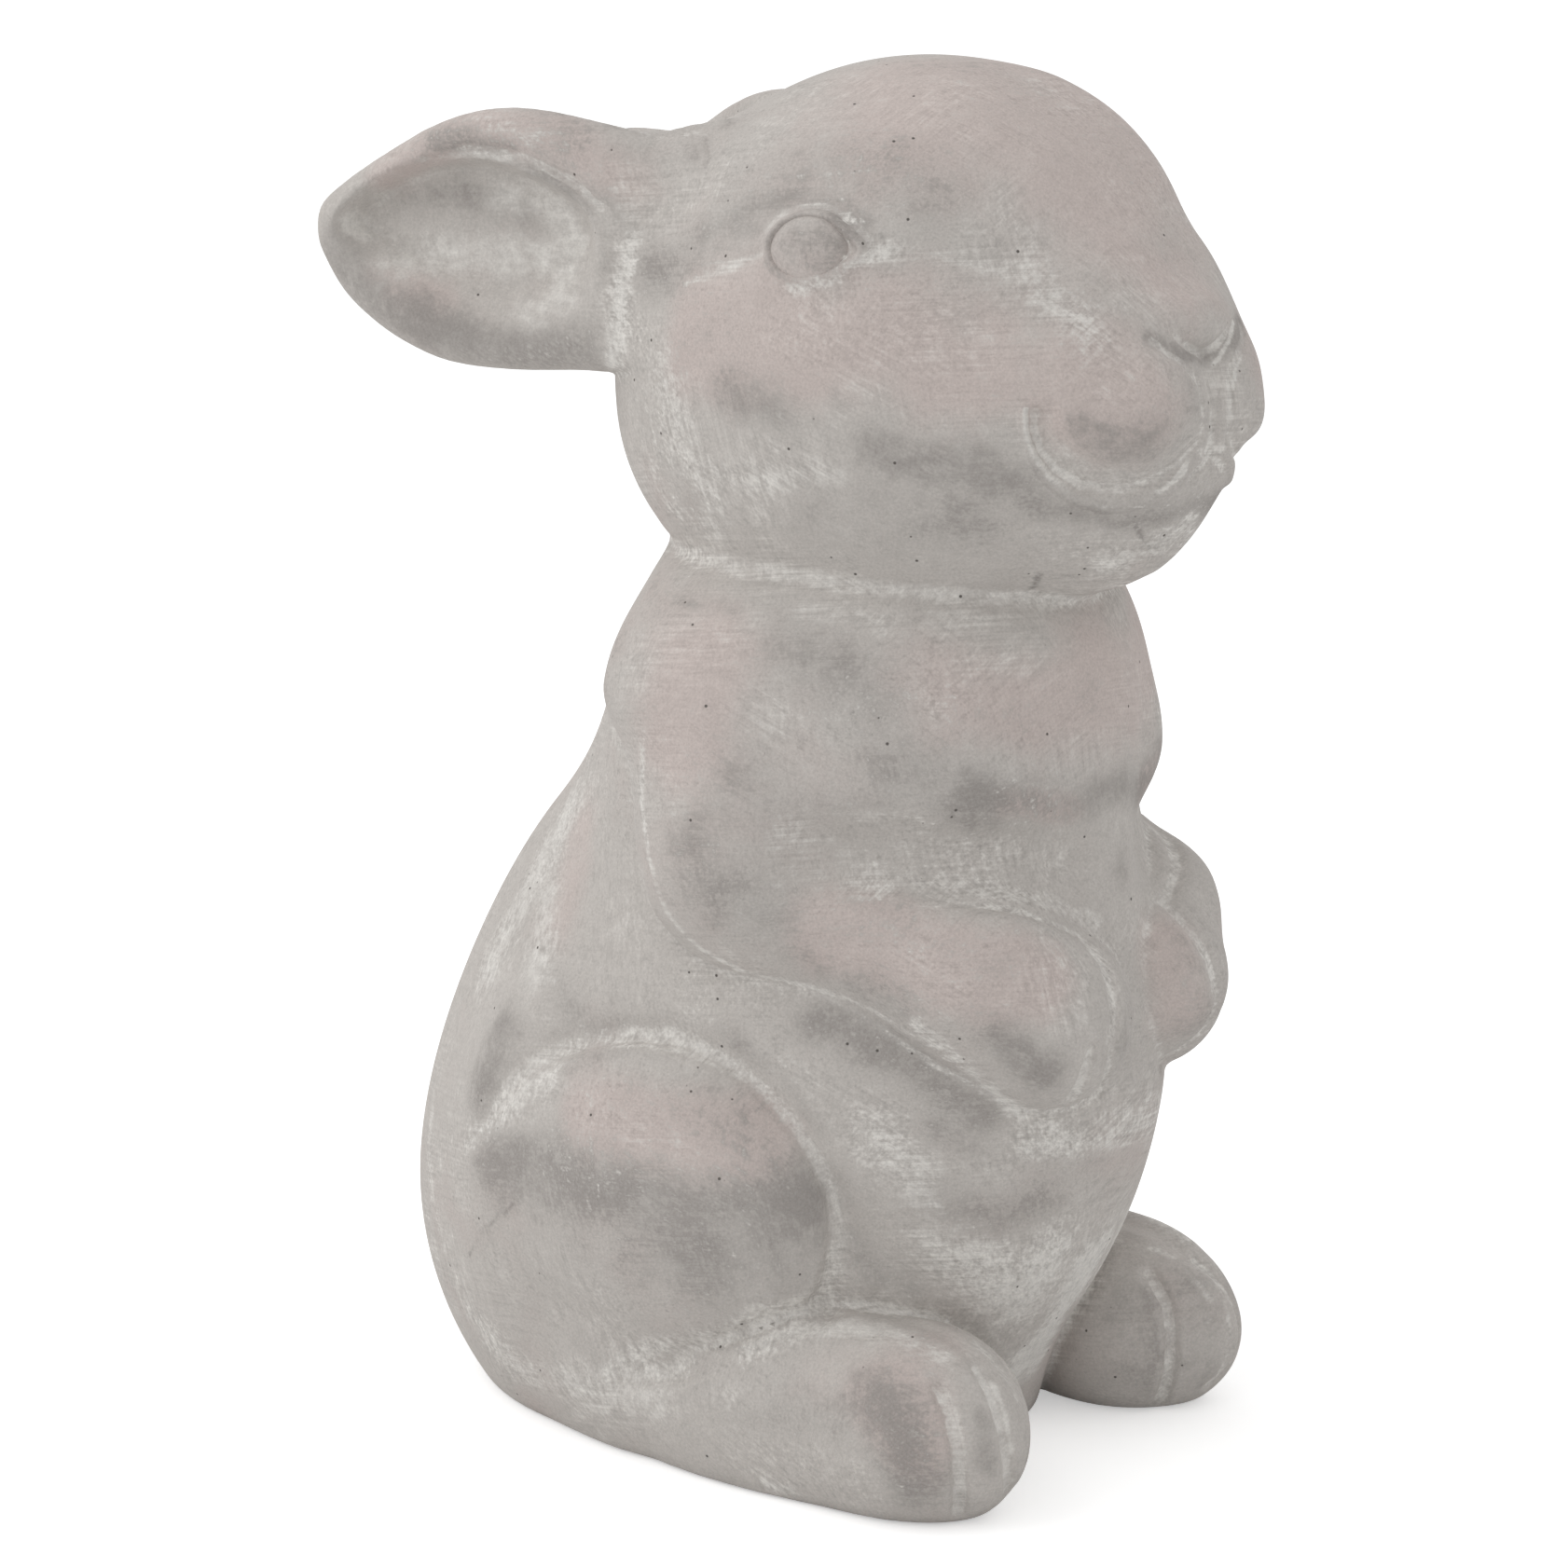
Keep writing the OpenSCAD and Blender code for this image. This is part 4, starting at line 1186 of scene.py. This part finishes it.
def noise(tree, vector, scale, detail=2.0, roughness=0.5):
    return addNode(tree, "ShaderNodeTexNoise", {"Vector": vector, "Scale": scale, "Detail": detail,
                   "Roughness": roughness}).outputs["Fac"]


def blendColour(tree, factor, a, b):
    return addNode(tree, "ShaderNodeMix", {0: factor, 6: a, 7: b}, data_type="RGBA").outputs[2]


markNoise = {"marks": (4.0, 0.62), "patches": (0.38, 0.62)}  # detail and roughness, start and end


# Marks of a brush or cloth: noise drawn out along one way, in mm
def makeStrokeGroup():
    group, given, out = newGroup("brushMarks", [
        ("Place", "NodeSocketVector", None), ("Turn", "NodeSocketVector", (0, 0, 0)),
        ("Fineness", "NodeSocketVector", (0.06, 0.06, 1.0)), ("Patchiness", "NodeSocketFloat", 0.03),
    ], [("Marks", "NodeSocketFloat")])
    turned = addNode(group, "ShaderNodeVectorRotate", {"Vector": given["Place"], "Rotation": given["Turn"]},
                     rotation_type="EULER_XYZ").outputs[0]
    drawn = addNode(group, "ShaderNodeVectorMath", {0: turned, 1: given["Fineness"]},
                    operation="MULTIPLY").outputs[0]
    marks = noise(group, drawn, 1.0, *markNoise["marks"])
    patches = ramp(group, noise(group, turned, given["Patchiness"], 1.0), *markNoise["patches"])
    spread = reckon(group, "SUBTRACT", marks, 0.5)
    group.links.new(reckon(group, "MULTIPLY", spread, patches), out["Marks"])
    return group


pinhole = {"density": 0.3, "size": 0.13, "edge": 0.06, "drift": 0.035, "scarcity": 1.42}


# Tiny blow holes of the cast: round, scarce and gathered in drifts
def makePinholeGroup():
    group, given, out = newGroup("pinholes", [
        ("Place", "NodeSocketVector", None), ("Density", "NodeSocketFloat", pinhole["density"]),
        ("Size", "NodeSocketFloat", pinhole["size"]),
    ], [("Holes", "NodeSocketFloat")])
    cells = addNode(group, "ShaderNodeTexVoronoi", {"Vector": given["Place"], "Scale": given["Density"]})
    near = reckon(group, "SUBTRACT", given["Size"], cells.outputs["Distance"])
    hole = ramp(group, near, 0.0, pinhole["edge"])
    chance = addNode(group, "ShaderNodeSeparateColor", {"Color": cells.outputs["Color"]}).outputs[0]
    drift = noise(group, given["Place"], pinhole["drift"], 1.0)
    kept = reckon(group, "GREATER_THAN", reckon(group, "ADD", chance, drift), pinhole["scarcity"])
    group.links.new(reckon(group, "MULTIPLY", hole, kept), out["Holes"])
    return group


castFinish = {
    "body": (187, 182, 177),  # all colours as they look, 0 to 255
    "warm": (193, 182, 177),
    # the dark colour serves rubbed places and painted shade; the pale wash colour also serves painted light
    "rubbedAndShade": (146, 141, 137),
    "washAndLight": (213, 210, 205),
    "hole": (96, 92, 88),
    "rubAndShadeShare": 0.9, "washAndLightShare": 0.85,
    "strokes": 0.5, "grain": 0.55, "mottle": 0.3,
    "roughness": 0.86, "washRoughness": 0.94, "specular": 0.25,
    "bump": 0.3, "bumpDistance": 0.0005,
    # noises: scale, detail and roughness
    "grainNoise": (1.7, 3.0, 0.7), "mottleNoise": (0.32, 5.0, 0.65),
    "cloudNoise": (0.05, 4.0, 0.6), "hazeNoise": (0.022, 3.0, 0.5),
    # how much each of them, and the strokes, break up the edges of bloom, patches and wash, and of the
    # painted shade and painted light among them
    "raggedStrokes": 2.2, "raggedMottle": 1.7, "drift": 1.8, "driftInBloom": 0.6,
    "bloomFrom": 0.42, "bloom": 1.6, "washAndLightRagged": 0.8, "washAndLightDrift": 0.7,
    # from where to where bloom, patches and wash rise, with the painted shade and painted light among them
    "warmRise": (0.1, 0.9), "rubAndShadeRise": (0.05, 1.3), "washAndLightRise": (0.1, 1.25),
    # masks of hollow and proud places: start, end, low and high
    "proud": (-0.18, -0.6, 0.0, 0.25),
    "fineHollow": (0.15, 0.8, 0.0, 0.5), "wideHollow": (0.2, 1.0, 0.0, 0.25),
    "bowlStrokes": 2.2, "bowlUnfilled": 0.9,
    "grainRelief": 0.4, "mottleRelief": 0.6, "strokeRelief": 0.8, "holeRelief": 1.5,
}
finishColours = {"Body": "body", "Warm": "warm", "Rub And Shade Colour": "rubbedAndShade", "Wash And Light Colour": "washAndLight", "Hole": "hole"}
# Ways in which it was brushed: turn, fineness along each axis, and patchiness
brushing = {
    "level": ((0.12, -0.1, 0), (0.07, 0.07, 1.3), 0.021),
    "steep": ((0.2, 0.1, 0.3), (0.9, 0.9, 0.07), 0.027),
    "slant": ((0.9, 0.2, 0.5), (0.08, 1.1, 1.1), 0.024),
    "across": ((-0.7, 0.5, 1.2), (0.08, 1.2, 1.2), 0.03),
    "inBowl": ((0, 0, 0.2), (0.7, 0.03, 0.9), 0.001),
}


def colourOf(rgb):
    return (*[((c / 255 + 0.055) / 1.055) ** 2.4 for c in rgb], 1)


strokeGroup = makeStrokeGroup()
holeGroup = makePinholeGroup()


# The whole finish: body, warm bloom, rubbed patches and painted shade, pale wash in the hollows and painted
# light, marks, grain and holes
def makeFinishGroup():
    group, given, out = newGroup("castFinish", [
        ("Place", "NodeSocketVector", None), ("Rubbed And Shade", "NodeSocketFloat", 0.0),
        ("Washed And Lit", "NodeSocketFloat", 0.0), ("Warmed", "NodeSocketFloat", 0.0),
        ("Fine Hollow", "NodeSocketFloat", 0.0), ("Wide Hollow", "NodeSocketFloat", 0.0),
        ("Lengthwise", "NodeSocketFloat", 0.0),
        *[(label, "NodeSocketColor", colourOf(castFinish[key])) for label, key in finishColours.items()],
        *[(key.capitalize(), "NodeSocketFloat", castFinish[key]) for key in ("strokes", "grain", "mottle")],
    ], [("Colour", "NodeSocketColor"), ("Height", "NodeSocketFloat"), ("Wash And Light Share", "NodeSocketFloat")])
    add, less, times = sums(group)
    place = given["Place"]
    bowl = given["Lengthwise"]
    v = castFinish
    grain, mottle, cloud, haze = (noise(group, place, *v[name + "Noise"]) for name in
                                  ("grain", "mottle", "cloud", "haze"))
    marks = {}
    for name, (turn, fineness, patchiness) in brushing.items():
        marks[name] = addNode(group, "ShaderNodeGroup", {"Place": place, "Turn": turn, "Fineness": fineness,
                              "Patchiness": patchiness}, node_tree=strokeGroup).outputs["Marks"]
    loose = add(add(marks["level"], marks["steep"]), add(marks["slant"], marks["across"]))
    strokes = add(times(loose, less(1.0, bowl)), times(marks["inBowl"], times(bowl, v["bowlStrokes"])))
    ragged = add(times(strokes, v["raggedStrokes"]), times(less(mottle, 0.5), v["raggedMottle"]))
    drift = times(less(cloud, 0.5), v["drift"])

    bloom = add(given["Warmed"], times(less(haze, v["bloomFrom"]), v["bloom"]))
    warm = ramp(group, add(bloom, times(drift, v["driftInBloom"])), *v["warmRise"])
    colour = blendColour(group, warm, given["Body"], given["Warm"])

    # Dark: rubbed high places and the dark patches, painted shade among them
    proud = ramp(group, given["Wide Hollow"], *v["proud"])
    dark = add(add(given["Rubbed And Shade"], proud), add(ragged, drift))
    rubbedAndShade = times(ramp(group, dark, *v["rubAndShadeRise"]), v["rubAndShadeShare"])
    colour = blendColour(group, rubbedAndShade, colour, given["Rub And Shade Colour"])

    # Pale: wash in the hollows and the pale patches, painted light among them
    hollow = add(ramp(group, given["Fine Hollow"], *v["fineHollow"]),
                 ramp(group, given["Wide Hollow"], *v["wideHollow"]))
    filled = times(hollow, less(1.0, times(bowl, v["bowlUnfilled"])))
    settledAndLit = reckon(group, "MAXIMUM", given["Washed And Lit"], filled)
    pale = add(settledAndLit, less(times(ragged, v["washAndLightRagged"]), times(drift, v["washAndLightDrift"])))
    washedAndLit = times(ramp(group, pale, *v["washAndLightRise"]), v["washAndLightShare"])
    colour = blendColour(group, washedAndLit, colour, given["Wash And Light Colour"])

    specks = add(times(less(grain, 0.5), given["Grain"]), times(less(mottle, 0.5), given["Mottle"]))
    shade = add(add(times(strokes, given["Strokes"]), specks), 1.0)
    shaded = scaled(group, colour, shade)
    holes = addNode(group, "ShaderNodeGroup", {"Place": place}, node_tree=holeGroup).outputs["Holes"]
    relief = add(times(grain, v["grainRelief"]), times(mottle, v["mottleRelief"]))
    relief = add(relief, times(strokes, v["strokeRelief"]))
    group.links.new(blendColour(group, holes, shaded, given["Hole"]), out["Colour"])
    group.links.new(less(relief, times(holes, v["holeRelief"])), out["Height"])
    group.links.new(washedAndLit, out["Wash And Light Share"])
    return group


finishGroup = makeFinishGroup()


# A material of the cast body; values name inputs of the finish that a piece sets for itself
def makeCast(name, masks, values=()):
    material = bpy.data.materials.new(name)
    material.use_nodes = True
    tree = material.node_tree
    shader = tree.nodes["Principled BSDF"]
    at = addNode(tree, "ShaderNodeTexCoord").outputs["Object"]
    inputs = {"Place": scaled(tree, at, perMetre), **dict(values)}
    for socket, attribute in masks.items():
        inputs[socket] = addNode(tree, "ShaderNodeAttribute", attribute_name=attribute).outputs["Fac"]
    finish = addNode(tree, "ShaderNodeGroup", inputs, node_tree=finishGroup)
    tree.links.new(finish.outputs["Colour"], shader.inputs["Base Color"])
    rough = addNode(tree, "ShaderNodeMapRange", {"Value": finish.outputs["Wash And Light Share"], "To Min":
                    castFinish["roughness"], "To Max": castFinish["washRoughness"]}).outputs["Result"]
    tree.links.new(rough, shader.inputs["Roughness"])
    bump = addNode(tree, "ShaderNodeBump", {"Strength": castFinish["bump"], "Distance":
                   castFinish["bumpDistance"], "Height": finish.outputs["Height"]})
    tree.links.new(bump.outputs["Normal"], shader.inputs["Normal"])
    shader.inputs["Specular IOR Level"].default_value = castFinish["specular"]
    return material


masks = {"Rubbed And Shade": "rubbedAndShade", "Washed And Lit": "washedAndLit", "Warmed": "warmed", "Fine Hollow": "hollowFine",
         "Wide Hollow": "hollowWide", "Lengthwise": "bowl"}
castBody = makeCast("castBody", masks)
castEye = makeCast("castEye", {k: masks[k] for k in ("Rubbed And Shade", "Washed And Lit", "Warmed")})
plateFinish = {"Warmed": 0.2, "Mottle": 0.25, "Strokes": 0.4}
castPlate = makeCast("castPlate", {}, plateFinish)
for name, piece in pieces.items():
    piece.data.materials.append(castEye if name.startswith("eye") else castBody)
plate = bpy.data.objects["base_plate"]
plate.data.materials.clear()
plate.data.materials.append(castPlate)
print("finish laid on", len(pieces) + 1, "pieces")


stage = {
    "floor": 6.0, "floorColour": (0.9, 0.9, 0.9), "floorLift": 0.42,
    "sky": 0.8, "key": 4.8, "keySize": 1.2, "keyFrom": (-900.0, 150.0, 800.0),  # right, toward, up
    "keyAt": (0, 0, 150),
}


def makeFloor(v):
    mesh = bpy.data.meshes.new("floor")
    r = v["floor"]
    mesh.from_pydata([(-r, -r, 0), (r, -r, 0), (r, r, 0), (-r, r, 0)], [], [(0, 1, 2, 3)])
    floor = bpy.data.objects.new("floor", mesh)
    bpy.context.scene.collection.objects.link(floor)
    material = bpy.data.materials.new("paleFloor")
    material.use_nodes = True
    shader = material.node_tree.nodes["Principled BSDF"]
    shader.inputs["Base Color"].default_value = (*v["floorColour"], 1)
    shader.inputs["Roughness"].default_value = 1
    shader.inputs["Specular IOR Level"].default_value = 0
    tree = material.node_tree
    strength = reckon(tree, "MULTIPLY", seenIn(tree), v["floorLift"])
    lift = addNode(tree, "ShaderNodeEmission", {"Strength": strength})
    both = addNode(tree, "ShaderNodeAddShader", {0: shader.outputs["BSDF"], 1: lift.outputs["Emission"]})
    tree.links.new(both.outputs["Shader"], tree.nodes["Material Output"].inputs["Surface"])
    mesh.materials.append(material)


# An even white sky lights the cast, and the camera sees it as white
def makeLights(v):
    world = bpy.data.worlds.new("studio")
    bpy.context.scene.world = world
    world.use_nodes = True
    tree = world.node_tree
    sky = tree.nodes["Background"]
    sky.inputs["Color"].default_value = (1, 1, 1, 1)
    sky.inputs["Strength"].default_value = v["sky"]
    white = addNode(tree, "ShaderNodeBackground", {"Color": (1, 1, 1, 1)})
    mix = addNode(tree, "ShaderNodeMixShader", {0: seenIn(tree), 1: sky.outputs["Background"],
                  2: white.outputs["Background"]})
    tree.links.new(mix.outputs["Shader"], tree.nodes["World Output"].inputs["Surface"])
    place, forward, right, up, distance = cameraAxes(photograph)
    lamp = bpy.data.lights.new("softKey", "AREA")
    lamp.energy = v["key"]
    lamp.size = v["keySize"]
    key = bpy.data.objects.new("softKey", lamp)
    middle = np.array(v["keyAt"])
    level = unit(forward * [1, 1, 0])
    aside, toward, rise = v["keyFrom"]
    key.location = Vector((middle + aside * right - toward * level + [0, 0, rise]) / perMetre)
    key.rotation_mode = "QUATERNION"
    key.rotation_quaternion = (Vector(middle / perMetre) - key.location).to_track_quat("-Z", "Y")
    bpy.context.scene.collection.objects.link(key)


makeFloor(stage)
makeLights(stage)
bpy.context.scene.view_settings.view_transform = "Standard"
